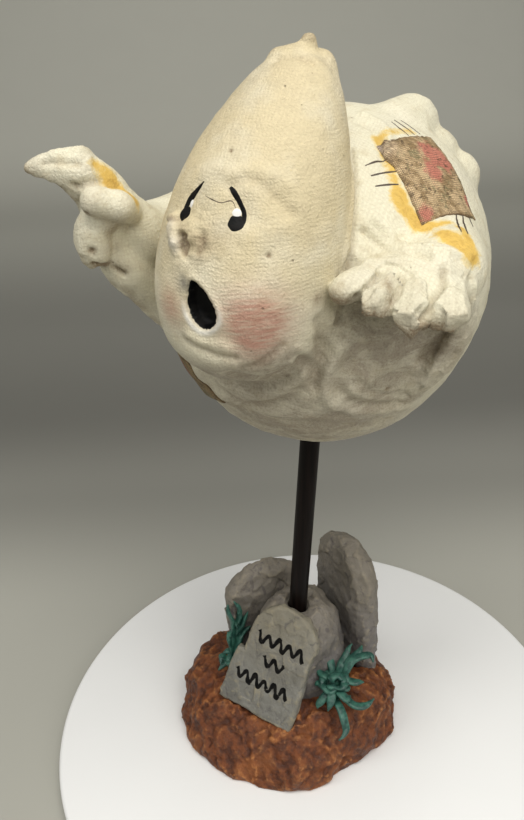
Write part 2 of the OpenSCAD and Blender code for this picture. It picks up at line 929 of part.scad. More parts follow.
module leaf(root, shares) {
    tip = root + leaf_l * shares;
    bend = root + leaf_l * (shares * 0.55 + [0, 0, 0.22]);
    side = unit(cross(tip - root, bend - root));
    for (i = [0 : leaf_steps - 1]) {
        start = max(0, i / leaf_steps - leaf_lap_share);
        end = (i + 1) / leaf_steps;
        hull()
            skin(
                [
                    leaf_ring(root, bend, tip, side, start, leaf_neck_share),
                    leaf_ring(root, bend, tip, side, end, 1)
                ],
                finger_line(root, bend, tip, start),
                finger_line(root, bend, tip, end)
            );
    }
}

module tuft(root, leaves) {
    translate(root)
        scale([1, 1, 0.8])
            sphere(r = leaf_w * 0.8, $fn = 12);
    for (s = leaves)
        leaf(root, s);
}

module left_weed() {
    color("#2f6b52")
        difference() {
            tuft(left_weed_at, left_leaf_shares);
            mound_solid();
            front_slab();
            left_slab();
        }
}

module right_weed() {
    color("#2f6b52")
        difference() {
            tuft(right_weed_at, right_leaf_shares);
            mound_solid();
            rock_form();
            front_slab();
        }
}

body_shell();
head_shell();
hood_nub();
nose();
rod_socket();
right_arm();
right_pointing_finger();
right_thumb();
right_folded_fingers();
left_arm();
left_thumb();
left_index_finger();
left_middle_finger();
left_little_finger();
tail_near_folds();
tail_far_folds();
back_patch();
flank_patch();
rod();
mound();
centre_rock();
front_gravestone();
left_gravestone();
right_gravestone();
left_weed();
right_weed();
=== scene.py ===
"""Looks of a ghost ornament on a rod: sculpted and painted skins, floor, light and camera."""

import math

import bpy
import numpy as np
import openvdb
from mathutils import Matrix, Vector
from mathutils.bvhtree import BVHTree


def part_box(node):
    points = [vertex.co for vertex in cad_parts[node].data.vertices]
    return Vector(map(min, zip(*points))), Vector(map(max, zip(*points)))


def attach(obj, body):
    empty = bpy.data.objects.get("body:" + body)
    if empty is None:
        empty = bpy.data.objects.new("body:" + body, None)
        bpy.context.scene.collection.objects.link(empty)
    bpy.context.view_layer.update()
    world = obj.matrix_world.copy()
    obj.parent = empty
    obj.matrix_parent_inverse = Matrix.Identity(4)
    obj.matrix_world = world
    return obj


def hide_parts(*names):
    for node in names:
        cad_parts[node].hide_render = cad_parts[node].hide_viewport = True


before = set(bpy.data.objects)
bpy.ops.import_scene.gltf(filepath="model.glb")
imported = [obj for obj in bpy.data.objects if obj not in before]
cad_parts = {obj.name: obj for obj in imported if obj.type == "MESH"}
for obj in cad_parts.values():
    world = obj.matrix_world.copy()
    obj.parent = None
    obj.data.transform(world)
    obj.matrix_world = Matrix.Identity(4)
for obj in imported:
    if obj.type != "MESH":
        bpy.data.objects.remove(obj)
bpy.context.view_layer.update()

MM = 0.001
BODY = "root"

# Noise and curves


def hashed(cell, seed):
    """A repeatable number from 0 to 1 for each whole-number cell."""
    x, y, z = (cell[..., i].astype(np.uint32) for i in range(3))
    h = x * np.uint32(73856093) ^ y * np.uint32(19349663) ^ z * np.uint32(83492791)
    h = h ^ np.uint32(seed * 7919 + 17)
    h = (h ^ (h >> np.uint32(13))) * np.uint32(1274126177)
    return ((h ^ (h >> np.uint32(16))) & np.uint32(0xFFFF)).astype(np.float32) / 65535


def noise(points, size, seed=0):
    """Smooth noise from -1 to 1 with features of about the given size."""
    p = np.asarray(points, np.float32) / size + 1000
    cell = np.floor(p).astype(np.int64)
    f = p - cell
    f = f * f * (3 - 2 * f)
    total = 0
    for i in range(8):
        corner = np.array([i & 1, i >> 1 & 1, i >> 2 & 1])
        weight = np.prod(np.where(corner, f, 1 - f), axis=-1)
        total = total + weight * hashed(cell + corner, seed)
    return total * 2 - 1


def scattered(points, size, seed):
    """Distance from each point to the nearest of scattered spots, in sizes, and that spot's number."""
    p = np.asarray(points, np.float32) / size + 1000
    base = np.floor(p).astype(np.int64)
    nearest = np.full(len(p), 9.0)
    owner = np.zeros(len(p), np.int64)
    for i in range(27):
        cell = base + np.array([i % 3 - 1, i // 3 % 3 - 1, i // 9 - 1])
        away = np.linalg.norm(p - cell - np.stack([hashed(cell, seed + k) for k in range(3)], -1), axis=-1)
        owner = np.where(away < nearest, cell @ np.array([1, 4096, 4096 * 4096]), owner)
        nearest = np.minimum(nearest, away)
    return nearest, owner


def lumps(points, size, seed=0):
    """Rounded dabs from 0 to 1, highest at scattered spots."""
    return np.clip(1 - scattered(points, size, seed)[0], 0, 1)


def facets(points, normals, size, seed=0):
    """How far each point stands above the flat facet that its neighbourhood is cut to."""
    _, owner, count = np.unique(scattered(points, size, seed)[1], return_inverse=True, return_counts=True)
    middle, facing = np.zeros((len(count), 3)), np.zeros((len(count), 3))
    np.add.at(middle, owner, points)
    np.add.at(facing, owner, normals)
    middle /= count[:, None]
    facing /= np.linalg.norm(facing, axis=1)[:, None] + 1e-9
    return ((points - middle[owner]) * facing[owner]).sum(1)


def to_line(points, line):
    """Distance from each point to a bent line."""
    line = np.asarray(line, float)
    least = np.full(len(points), 1e9)
    for a, b in zip(line[:-1], line[1:]):
        along = b - a
        t = np.clip((points - a) @ along / max(along @ along, 1e-9), 0, 1)
        least = np.minimum(least, np.linalg.norm(points - a - t[:, None] * along, axis=1))
    return least


def smooth_line(line, count):
    """A curve through the points of a line, resampled to count points."""
    line = np.asarray(line, float)
    if len(line) < 3:
        t = np.linspace(0, 1, count)[:, None]
        return line[0] * (1 - t) + line[-1] * t
    out = []
    for s in np.linspace(0, len(line) - 1, count):
        i = min(int(s), len(line) - 2)
        u = s - i
        a, b, c, d = (line[min(max(i + k, 0), len(line) - 1)] for k in (-1, 0, 1, 2))
        square, cube = 2 * a - 5 * b + 4 * c - d, 3 * b - a - 3 * c + d
        out.append(0.5 * (2 * b + (c - a) * u + square * u**2 + cube * u**3))
    return np.array(out)


# Distance grids


def node_mesh(node):
    """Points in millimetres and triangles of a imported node."""
    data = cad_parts[node].data
    data.calc_loop_triangles()
    points = np.empty(len(data.vertices) * 3, np.float32)
    data.vertices.foreach_get("co", points)
    triangles = np.empty(len(data.loop_triangles) * 3, np.int32)
    data.loop_triangles.foreach_get("vertices", triangles)
    return points.reshape(-1, 3) / MM, triangles.reshape(-1, 3).astype(np.uint32)


class Grid:
    """Signed distances in millimetres on a regular grid round some nodes, negative inside."""

    def __init__(self, nodes, step, reach=5.0):
        corners = np.array([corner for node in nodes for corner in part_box(node)]) / MM
        self.step = step
        self.reach = reach
        self.low = np.floor((corners.min(0) - reach) / step).astype(int)
        self.size = np.ceil((corners.max(0) + reach) / step).astype(int) - self.low + 1
        self.transform = openvdb.createLinearTransform(voxelSize=step)

    def solid(self, node):
        points, triangles = node_mesh(node)
        level = openvdb.FloatGrid.createLevelSetFromPolygons(
            points, triangles=triangles, transform=self.transform, halfWidth=self.reach / self.step
        )
        field = np.empty(self.size, np.float32)
        level.copyToArray(field, ijk=tuple(self.low.tolist()))
        return field

    def axes(self):
        """The grid's own coordinates, as three arrays that broadcast together."""
        return np.ogrid[tuple(slice(low, low + n) for low, n in zip(self.low, self.size))]

    def at(self, field, points):
        """The field's value at the nearest grid place of each point."""
        index = np.clip(np.rint(points / self.step).astype(int) - self.low, 0, self.size - 1)
        return field[index[:, 0], index[:, 1], index[:, 2]]

    def surface(self, field):
        """Points in millimetres and four-cornered faces of the field's zero surface, turned outwards."""
        level = openvdb.FloatGrid(self.reach)
        level.transform = self.transform
        level.copyFromArray(field, ijk=tuple(self.low.tolist()))
        points, faces = level.convertToQuads(isovalue=0.0)
        points, faces = points.astype(float), faces.astype(int)
        a, b, c = (points[faces[:, i]] for i in range(3))
        normal = np.cross(b - a, c - a)
        normal /= np.linalg.norm(normal, axis=1)[:, None] + 1e-9
        outward = self.at(field, a + normal * 1.5 * self.step) > self.at(field, a - normal * 1.5 * self.step)
        return points, faces if outward.mean() > 0.5 else faces[:, ::-1]


def melt(a, b, k):
    """Union of two fields whose crease is filled to about k."""
    h = np.maximum(k - np.abs(a - b), 0) / k
    return np.minimum(a, b) - h * h * k * 0.25


def softened(field, times):
    """The field averaged with its neighbours, several times."""
    for _ in range(times):
        for axis in range(3):
            middle = np.moveaxis(field, axis, 0)
            middle[1:-1] = (middle[:-2] + 2 * middle[1:-1] + middle[2:]) / 4
    return field


def hollows(field):
    """Free places that can't be reached from the edge of the grid."""
    free = field > 0
    seen = np.zeros_like(free)
    for axis in range(3):
        edge, inside = np.moveaxis(seen, axis, 0), np.moveaxis(free, axis, 0)
        edge[0], edge[-1] = inside[0], inside[-1]
    for _ in range(2):
        for axis in range(3):
            for way in (1, -1):
                f = np.moveaxis(free, axis, 0)[::way]
                s = np.moveaxis(seen, axis, 0)[::way]
                place = np.arange(len(f), dtype=np.int16)[:, None, None]
                last_seen = np.maximum.accumulate(np.where(s, place, np.int16(-1)), 0)
                last_wall = np.maximum.accumulate(np.where(f, np.int16(-1), place), 0)
                s |= f & (last_seen > last_wall)
    return free & ~seen


# Meshes


def gathered(points, faces, values):
    """The sum, at each point, of its faces' values."""
    total = np.zeros((len(points), *np.shape(values)[1:]))
    for i in range(4):
        np.add.at(total, faces[:, i], values)
    return total


def vertex_normals(points, faces):
    a, b, c, d = (points[faces[:, i]] for i in range(4))
    total = gathered(points, faces, np.cross(c - a, d - b))
    return total / (np.linalg.norm(total, axis=1)[:, None] + 1e-12)


def relaxed(points, faces, times, share=0.5):
    """Points drawn towards the mean of their neighbours, along the surface and across it."""
    for _ in range(times):
        total = np.zeros_like(points)
        count = np.zeros(len(points))
        for i in range(4):
            np.add.at(total, faces[:, i], points[faces[:, (i + 1) % 4]] + points[faces[:, i - 1]])
            np.add.at(count, faces[:, i], 2)
        points = points * (1 - share) + total / np.maximum(count, 1)[:, None] * share
    return points


def sheet_faces(rows, columns, loop=False, first=0, turned=False):
    """Faces between rows of points, which are numbered from first; loop closes each row on itself."""
    order = ((0, 0), (1, 0), (1, 1), (0, 1)) if turned else ((0, 0), (0, 1), (1, 1), (1, 0))
    return [
        tuple(first + (i + down) * columns + (j + over) % columns for down, over in order)
        for i in range(rows - 1)
        for j in range(columns if loop else columns - 1)
    ]


def dial_faces(rings, turns, turned=False):
    """Faces of rings of points round point 0."""
    fan = [(0, 1 + (k + 1) % turns, 1 + k) for k in range(turns)]
    if turned:
        fan = [(a, c, b) for a, b, c in fan]
    return fan + sheet_faces(rings, turns, True, 1, turned)


def circle(turns):
    """Angles all the way round."""
    return [2 * math.pi * k / turns for k in range(turns)]


def placed(name, data):
    """An object in the scene."""
    item = bpy.data.objects.new(name, data)
    bpy.context.scene.collection.objects.link(item)
    return item


def smooth_object(name, points, faces, material, masks=None):
    """A smooth-shaded object from points in millimetres."""
    data = bpy.data.meshes.new(name)
    data.from_pydata((np.asarray(points) * MM).tolist(), [], [list(map(int, f)) for f in faces])
    data.polygons.foreach_set("use_smooth", [True] * len(data.polygons))
    for key, values in (masks or {}).items():
        data.attributes.new(key, "FLOAT", "POINT").data.foreach_set("value", np.asarray(values, np.float32))
    data.update()
    data.materials.append(material)
    return placed(name, data)


def make_object(name, points, faces, material, replaces=(), normals=None, masks=None):
    """A piece of the ornament from points in millimetres."""
    piece = smooth_object(name, points, faces, material, masks)
    if normals is not None:
        piece.data.normals_split_custom_set_from_vertices(np.asarray(normals).tolist())
    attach(piece, BODY)
    if replaces:
        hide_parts(*replaces)
    return piece


def cut_out(points, faces, keep):
    """The chosen faces with only the points that they use, and the old places of those points."""
    chosen = faces[keep]
    used, again = np.unique(chosen, return_inverse=True)
    return points[used], again.reshape(chosen.shape), used


# Shader helpers


class Shader:
    """A node material that is written as expressions."""

    def __init__(self, name):
        self.material = bpy.data.materials.new(name)
        self.material.use_nodes = True
        self.tree = self.material.node_tree
        self.bsdf = self.tree.nodes["Principled BSDF"]
        coords = self.tree.nodes.new("ShaderNodeTexCoord")
        self.place = self.maths_vector("SCALE", coords.outputs["Object"], scale=1 / MM)

    def node(self, kind, **settings):
        made = self.tree.nodes.new(kind)
        for key, value in settings.items():
            setattr(made, key, value)
        return made

    def feed(self, socket, value):
        if isinstance(value, bpy.types.NodeSocket):
            self.tree.links.new(value, socket)
        elif hasattr(value, "__len__") and len(value) == 3 and socket.type == "RGBA":
            socket.default_value = (*value, 1)
        else:
            socket.default_value = value

    def set_inputs(self, node, **values):
        for key, value in values.items():
            self.feed(node.inputs[key], value)

    def maths(self, kind, a, b=0.0, c=0.0, clamp=False):
        made = self.node("ShaderNodeMath", operation=kind, use_clamp=clamp)
        for socket, value in zip(made.inputs, (a, b, c)):
            self.feed(socket, value)
        return made.outputs[0]

    def maths_vector(self, kind, a, b=(0, 0, 0), scale=1.0):
        made = self.node("ShaderNodeVectorMath", operation=kind)
        self.feed(made.inputs[0], a)
        if kind == "SCALE":
            self.feed(made.inputs["Scale"], scale)
        else:
            self.feed(made.inputs[1], b)
        return made.outputs[0]

    def mask(self, name):
        return self.node("ShaderNodeAttribute", attribute_name=name).outputs["Fac"]

    def parts(self, vector):
        made = self.node("ShaderNodeSeparateXYZ")
        self.feed(made.inputs[0], vector)
        return made.outputs

    def times(self, a, b, clamp=False):
        return self.maths("MULTIPLY", a, b, clamp=clamp)

    def threads(self, value, pitch):
        """Waves from 0 to 1, one to a pitch."""
        wave = self.maths("SINE", self.times(value, 2 * math.pi / pitch))
        return self.maths("MULTIPLY_ADD", wave, 0.5, 0.5)

    def noise(self, size, detail=2.0, rough=0.5, stretch=None, bend=0.0, output="Fac"):
        """Cloudy texture with features of about size, in millimetres."""
        place = self.maths_vector("MULTIPLY", self.place, stretch) if stretch else self.place
        made = self.node("ShaderNodeTexNoise")
        self.set_inputs(made, Vector=place, Scale=1 / size, Detail=detail, Roughness=rough, Distortion=bend)
        return made.outputs[output]

    def cells(self, size):
        """Distance to the nearest of scattered points."""
        made = self.node("ShaderNodeTexVoronoi")
        self.set_inputs(made, Vector=self.place, Scale=1 / size)
        return made.outputs["Distance"]

    def ramp(self, value, low, high, out_low=0.0, out_high=1.0):
        made = self.node("ShaderNodeMapRange", interpolation_type="SMOOTHSTEP")
        for socket, number in zip(made.inputs, (value, low, high, out_low, out_high)):
            self.feed(socket, number)
        return made.outputs["Result"]

    def mix(self, share, a, b):
        made = self.node("ShaderNodeMix", data_type="RGBA")
        self.feed(made.inputs["Factor"], share)
        self.feed(made.inputs[6], a)
        self.feed(made.inputs[7], b)
        return made.outputs[2]

    def coat(self, under, mask, share, paint):
        """The colour under, painted over by a share of the mask."""
        return self.mix(self.times(mask, share), under, paint)

    def bump(self, height, distance_mm, normal=None):
        made = self.node("ShaderNodeBump")
        self.set_inputs(made, Distance=distance_mm * MM, Height=height)
        if normal is not None:
            self.feed(made.inputs["Normal"], normal)
        return made.outputs[0]

    def finish(self, colour, roughness, normal, specular=0.5):
        self.feed(self.bsdf.inputs["Base Color"], colour)
        self.feed(self.bsdf.inputs["Roughness"], roughness)
        self.feed(self.bsdf.inputs["Normal"], normal)
        self.bsdf.inputs["Specular IOR Level"].default_value = specular
        return self.material


def gauze_height(s, pitch):
    """Height of a fine open weave that lies on the surface, whichever way the surface faces."""
    bend = s.maths_vector("SCALE", s.noise(9, output="Color"), scale=pitch * 3.2)
    threads = [s.threads(part, pitch) for part in s.parts(s.maths_vector("ADD", s.place, bend))]
    facing = s.parts(s.node("ShaderNodeNewGeometry").outputs["Normal"])
    total = 0.0
    for i in range(3):
        weight = s.maths("POWER", s.maths("ABSOLUTE", facing[i]), 3.0)
        grid = s.times(threads[(i + 1) % 3], threads[(i + 2) % 3])
        total = s.maths("MULTIPLY_ADD", grid, weight, total)
    return total


# Finishes

# From one thread to the next, in millimetres: in the gauze under the paint, and in the patches' cloth
GAUZE_PITCH, CLOTH_PITCH = 1.15, 0.62


def sheet_finish():
    """Cream paint brushed over gauze: a wash that is partly painted shade, stains, dirt with painted shade,
    painted highlights, blush and the mouth's black follow the masks.
    """
    s = Shader("sheet_paint")
    broad = s.noise(20, 3)
    patchy = s.noise(6, 4, 0.62)
    grain = s.noise(0.75, 5, 0.75)
    brush = s.noise(1.3, 4, 0.65, stretch=(0.6, 0.6, 1.0), bend=0.6)
    weave = gauze_height(s, GAUZE_PITCH)
    hood = s.mask("hood")
    shade = s.mask("shade")
    colour = s.mix(hood, (0.765, 0.725, 0.555), (0.665, 0.570, 0.365))
    colour = s.coat(colour, s.ramp(broad, 0.42, 0.68), 0.55, (0.75, 0.71, 0.57))
    colour = s.coat(colour, s.ramp(patchy, 0.50, 0.70), 0.42, (0.56, 0.48, 0.31))
    colour = s.coat(colour, s.ramp(weave, 0.30, 0.03), 0.13, (0.42, 0.34, 0.21))
    colour = s.coat(colour, s.ramp(brush, 0.52, 0.70), 0.22, (0.50, 0.42, 0.28))
    colour = s.coat(colour, s.ramp(grain, 0.54, 0.72), 0.38, (0.44, 0.37, 0.25))
    # A grey-brown wash on the undersides and hollows, partly painted shade
    swept = s.noise(7, 5, 0.68, stretch=(0.6, 0.6, 1.2), bend=1.2)
    shade_wash = s.times(shade, s.ramp(swept, 0.36, 0.60, 0.55, 1.0), clamp=True)
    colour = s.coat(colour, shade_wash, 0.80, (0.30, 0.245, 0.18))
    colour = s.coat(colour, shade_wash, s.ramp(grain, 0.46, 0.62, 0.0, 0.45), (0.20, 0.165, 0.13))
    edge = s.maths("SUBTRACT", s.mask("ochre"), 0.65)
    edge = s.maths("MULTIPLY_ADD", s.noise(2.2, 5, 0.72, bend=0.6), 1.3, edge)
    colour = s.coat(colour, s.ramp(edge, 0.18, 0.42), 0.60, (0.76, 0.58, 0.22))
    colour = s.coat(colour, s.ramp(edge, 0.42, 0.78), 0.82, (0.68, 0.43, 0.065))
    colour = s.coat(colour, s.ramp(edge, 0.90, 1.15), 0.4, (0.45, 0.25, 0.05))
    # Dirt, with painted shade in the creases and hollows and under the hands
    dirt = s.times(s.mask("dirt"), s.ramp(grain, 0.28, 0.6, 0.5, 1.0), clamp=True)
    colour = s.mix(dirt, colour, (0.24, 0.175, 0.105))
    streaks = s.noise(0.9, 3, 0.6, stretch=(0.14, 0.14, 1.0))
    pink = s.times(s.mask("blush"), s.ramp(streaks, 0.35, 0.6, 0.60, 1.0), clamp=True)
    colour = s.coat(colour, pink, 0.82, (0.46, 0.21, 0.15))
    # Painted highlights on the nose's lumps and along the lower lip
    colour = s.mix(s.mask("white"), colour, (0.83, 0.81, 0.74))
    colour = s.coat(colour, s.mask("grey"), 0.8, (0.10, 0.10, 0.10))
    pit = s.ramp(s.cells(5.0), 0.07, 0.03)
    pit = s.times(pit, s.ramp(s.noise(9, 2), 0.46, 0.56))
    colour = s.coat(colour, pit, 0.5, (0.24, 0.17, 0.10))
    colour = s.mix(s.ramp(s.mask("mouth"), 0.35, 0.60), colour, (0.005, 0.005, 0.005))
    normal = s.bump(s.times(weave, s.maths("MULTIPLY_ADD", hood, 0.4, 0.6)), 0.10)
    normal = s.bump(brush, 0.13, normal)
    normal = s.bump(patchy, 0.6, normal)
    normal = s.bump(grain, 0.34, normal)
    normal = s.bump(s.times(pit, -1.0), 0.5, normal)
    return s.finish(colour, s.ramp(patchy, 0.3, 0.7, 0.50, 0.66), normal, specular=0.3)


def earth_finish():
    s = Shader("earth_paint")
    broad = s.noise(12, 3, 0.6)
    fine = s.noise(1.4, 4, 0.65)
    mid = s.noise(4, 3, 0.6)
    colour = s.mix(s.ramp(mid, 0.35, 0.65), (0.075, 0.024, 0.011), (0.180, 0.055, 0.018))
    dry = s.times(s.ramp(s.mask("proud"), 0.50, 0.95), s.ramp(broad, 0.40, 0.60, 0.15, 1.0))
    dry = s.times(dry, s.ramp(fine, 0.38, 0.58, 0.2, 1.0))
    colour = s.coat(colour, s.ramp(broad, 0.50, 0.66), 0.55, (0.27, 0.090, 0.024))
    colour = s.coat(colour, dry, 0.85, (0.46, 0.19, 0.060))
    # Recesses darker than the base paint: painted shade
    colour = s.coat(colour, s.mask("deep"), 0.85, (0.026, 0.011, 0.008))
    normal = s.bump(mid, 0.9)
    normal = s.bump(fine, 0.8, normal)
    return s.finish(colour, s.ramp(mid, 0.3, 0.7, 0.42, 0.62), normal, specular=0.3)


def stone_finish(name, grey, tan):
    s = Shader(name)
    broad = s.noise(13, 4, 0.6)
    mid = s.noise(3.5, 4, 0.65)
    fine = s.noise(0.8, 3, 0.6)
    colour = s.mix(s.ramp(broad, 0.38, 0.66), grey, tuple(c * 0.72 for c in grey))
    colour = s.coat(colour, s.ramp(mid, 0.52, 0.7), 0.6, tan)
    high = s.maths("MULTIPLY_ADD", broad, 30, s.parts(s.place)[2])
    colour = s.coat(colour, s.ramp(high, 48, 92), 0.55, tan)
    colour = s.coat(colour, s.ramp(s.mask("proud"), 0.55, 0.95), 0.75, tan)
    # Recesses darker: painted shade
    colour = s.coat(colour, s.mask("deep"), 0.8, (0.05, 0.045, 0.045))
    colour = s.coat(colour, s.ramp(fine, 0.6, 0.75), 0.3, (0.07, 0.065, 0.055))
    swept = s.noise(5, 5, 0.72, stretch=(1.0, 1.0, 0.55), bend=0.9)
    colour = s.mix(s.ramp(swept, 0.56, 0.72, 0.0, 0.55), colour, tuple(c * 1.55 for c in grey))
    hollow = tuple(c * k for c, k in zip(grey, (0.42, 0.40, 0.45)))
    colour = s.mix(s.ramp(swept, 0.46, 0.34, 0.0, 0.60), colour, hollow)
    normal = s.bump(swept, 0.7)
    normal = s.bump(mid, 0.5, normal)
    normal = s.bump(fine, 0.18, normal)
    return s.finish(colour, s.ramp(mid, 0.3, 0.7, 0.5, 0.72), normal, specular=0.4)


def weed_finish():
    s = Shader("weed_paint")
    mid = s.noise(3, 3, 0.6)
    colour = s.mix(s.ramp(mid, 0.35, 0.68), (0.012, 0.058, 0.045), (0.042, 0.145, 0.105))
    colour = s.coat(colour, s.ramp(s.noise(0.9, 3), 0.55, 0.75), 0.35, (0.09, 0.20, 0.145))
    normal = s.bump(s.noise(1.1, 3, 0.6), 0.35)
    return s.finish(colour, 0.42, normal, specular=0.5)


def rod_finish():
    s = Shader("rod_paint")
    along = s.noise(1.2, 4, 0.6, stretch=(1.0, 1.0, 0.06))
    colour = s.mix(s.ramp(along, 0.35, 0.7), (0.003, 0.002, 0.0016), (0.008, 0.0045, 0.0035))
    return s.finish(colour, s.ramp(along, 0.3, 0.7, 0.34, 0.46), s.bump(along, 0.12), specular=0.10)


def clay_finish():
    s = Shader("bare_clay")
    mid = s.noise(4, 4, 0.6)
    colour = s.mix(s.ramp(mid, 0.35, 0.7), (0.62, 0.56, 0.44), (0.48, 0.42, 0.31))
    return s.finish(colour, 0.8, s.bump(s.noise(1.2, 4, 0.6), 0.4))


def patch_finish(name, pale, dark, blotch):
    """Woven cotton under varnish, with a generic mottled print in the given colours."""
    s = Shader(name)
    across, up, _ = s.parts(s.node("ShaderNodeUVMap", uv_map="cloth").outputs["UV"])
    weave = s.times(s.threads(across, CLOTH_PITCH), s.threads(up, CLOTH_PITCH))
    mottle = s.noise(5.0, 4, 0.72)
    speck = s.noise(1.3, 4, 0.75, stretch=(1.0, 0.6, 0.8), bend=0.8)
    colour = s.mix(s.ramp(mottle, 0.42, 0.60), pale, tuple(c * k for c, k in zip(pale, (0.50, 0.46, 0.38))))
    colour = s.coat(colour, s.ramp(s.noise(3.0, 3, 0.6, bend=0.5), 0.56, 0.66), 0.6, (0.20, 0.21, 0.10))
    blot = s.maths("MULTIPLY_ADD", s.noise(2.6, 4, 0.7), 1.5, s.maths("SUBTRACT", s.mask("pink"), 0.80))
    colour = s.coat(colour, s.ramp(blot, 0.25, 0.75), 0.85, blotch)
    colour = s.coat(colour, s.mask("lilac"), 0.7, (0.42, 0.36, 0.34))
    colour = s.coat(colour, s.ramp(speck, 0.54, 0.64), 0.85, dark)
    colour = s.coat(colour, s.ramp(weave, 0.34, 0.02), 0.62, dark)
    colour = s.coat(colour, s.mask("frayed"), 0.7, (0.10, 0.06, 0.03))
    return s.finish(colour, 0.55, s.bump(weave, 0.18), specular=0.35)


def black_finish():
    s = Shader("black_gloss_paint")
    mid = s.noise(2.2, 3)
    colour = s.mix(s.ramp(mid, 0.4, 0.7), (0.003, 0.003, 0.003), (0.008, 0.007, 0.006))
    normal = s.bump(s.noise(1.5, 3), 0.12)
    return s.finish(colour, s.ramp(mid, 0.35, 0.7, 0.40, 0.55), normal, specular=0.12)


def plain_finish(name, size, detail, one, other, roughness, grain, depth):
    """Cloudy patches of two near colours, with a faint grain."""
    s = Shader(name)
    colour = s.mix(s.noise(size, detail), one, other)
    return s.finish(colour, roughness, s.bump(s.noise(grain, 2), depth))


# Painted light and shade on the backdrop: its grey by distance behind the ornament, in millimetres
BACKDROP_GREYS = [
    (-400, 0.38), (90, 0.375), (210, 0.215), (320, 0.138), (520, 0.19), (900, 0.38), (1300, 0.60),
]


def backdrop_finish(turn):
    s = Shader("backdrop_grey")
    x, y, _ = s.parts(s.place)
    # Darker and lighter bands by distance behind: painted light and shade
    behind = s.maths("MULTIPLY_ADD", y, math.cos(turn), s.times(x, -math.sin(turn)))
    grey = BACKDROP_GREYS[0][1]
    for (near, before), (far, after) in zip(BACKDROP_GREYS, BACKDROP_GREYS[1:]):
        grey = s.maths("ADD", grey, s.times(s.ramp(behind, near, far), after - before))
    tone = s.node("ShaderNodeCombineXYZ")
    for i, share in enumerate((1.0, 0.985, 0.865)):
        s.feed(tone.inputs[i], s.times(grey, share))
    colour = s.mix(s.times(s.noise(60, 2), 0.06), tone.outputs[0], (0.3, 0.29, 0.26))
    return s.finish(colour, 0.9, s.bump(s.noise(2.5, 2), 0.02))


SHEET = sheet_finish()
EARTH = earth_finish()
FRONT_STONE = stone_finish("front_stone_paint", (0.200, 0.195, 0.170), (0.285, 0.250, 0.170))
BACK_STONE = stone_finish("back_stone_paint", (0.160, 0.148, 0.140), (0.27, 0.235, 0.175))
WEED = weed_finish()
ROD = rod_finish()
CLAY = clay_finish()
BLACK = black_finish()
BROWN_INK = plain_finish("brown_ink_paint", 1.5, 3, (0.1, 0.065, 0.04), (0.03, 0.022, 0.018), 0.55, 0.8, 0.08)
WHITE_DOT = plain_finish("white_dot_paint", 1.2, 2, (0.72, 0.70, 0.66), (0.80, 0.79, 0.76), 0.4, 0.8, 0.1)
TABLE_WHITE = plain_finish("turntable_white", 60, 2, (0.80, 0.80, 0.79), (0.84, 0.84, 0.83), 0.5, 2.5, 0.02)

# The ghost: one melted surface, cut into its pieces

GHOST = {
    # node: how far its crease with the rest is filled, in millimetres
    "body_shell": 0.0,
    "head_shell": 2.5,
    "right_arm": 7.0,
    "left_arm": 6.0,
    "tail_near_folds": 3.0,
    "tail_far_folds": 3.0,
    "hood_nub": 1.2,
    "nose": 1.5,
    "right_pointing_finger": 3.0,
    "right_thumb": 2.5,
    "right_folded_fingers": 1.5,
    "left_thumb": 1.0,
    "left_index_finger": 1.0,
    "left_middle_finger": 1.0,
    "left_little_finger": 1.0,
}
# From this piece on, pieces are joined after the smoothing, so they keep their edges
FIRST_CRISP = "hood_nub"
# Grid step and how far a pressed lump blends in, in millimetres
GHOST_STEP = 0.62
LUMP_BLEND = 1.2
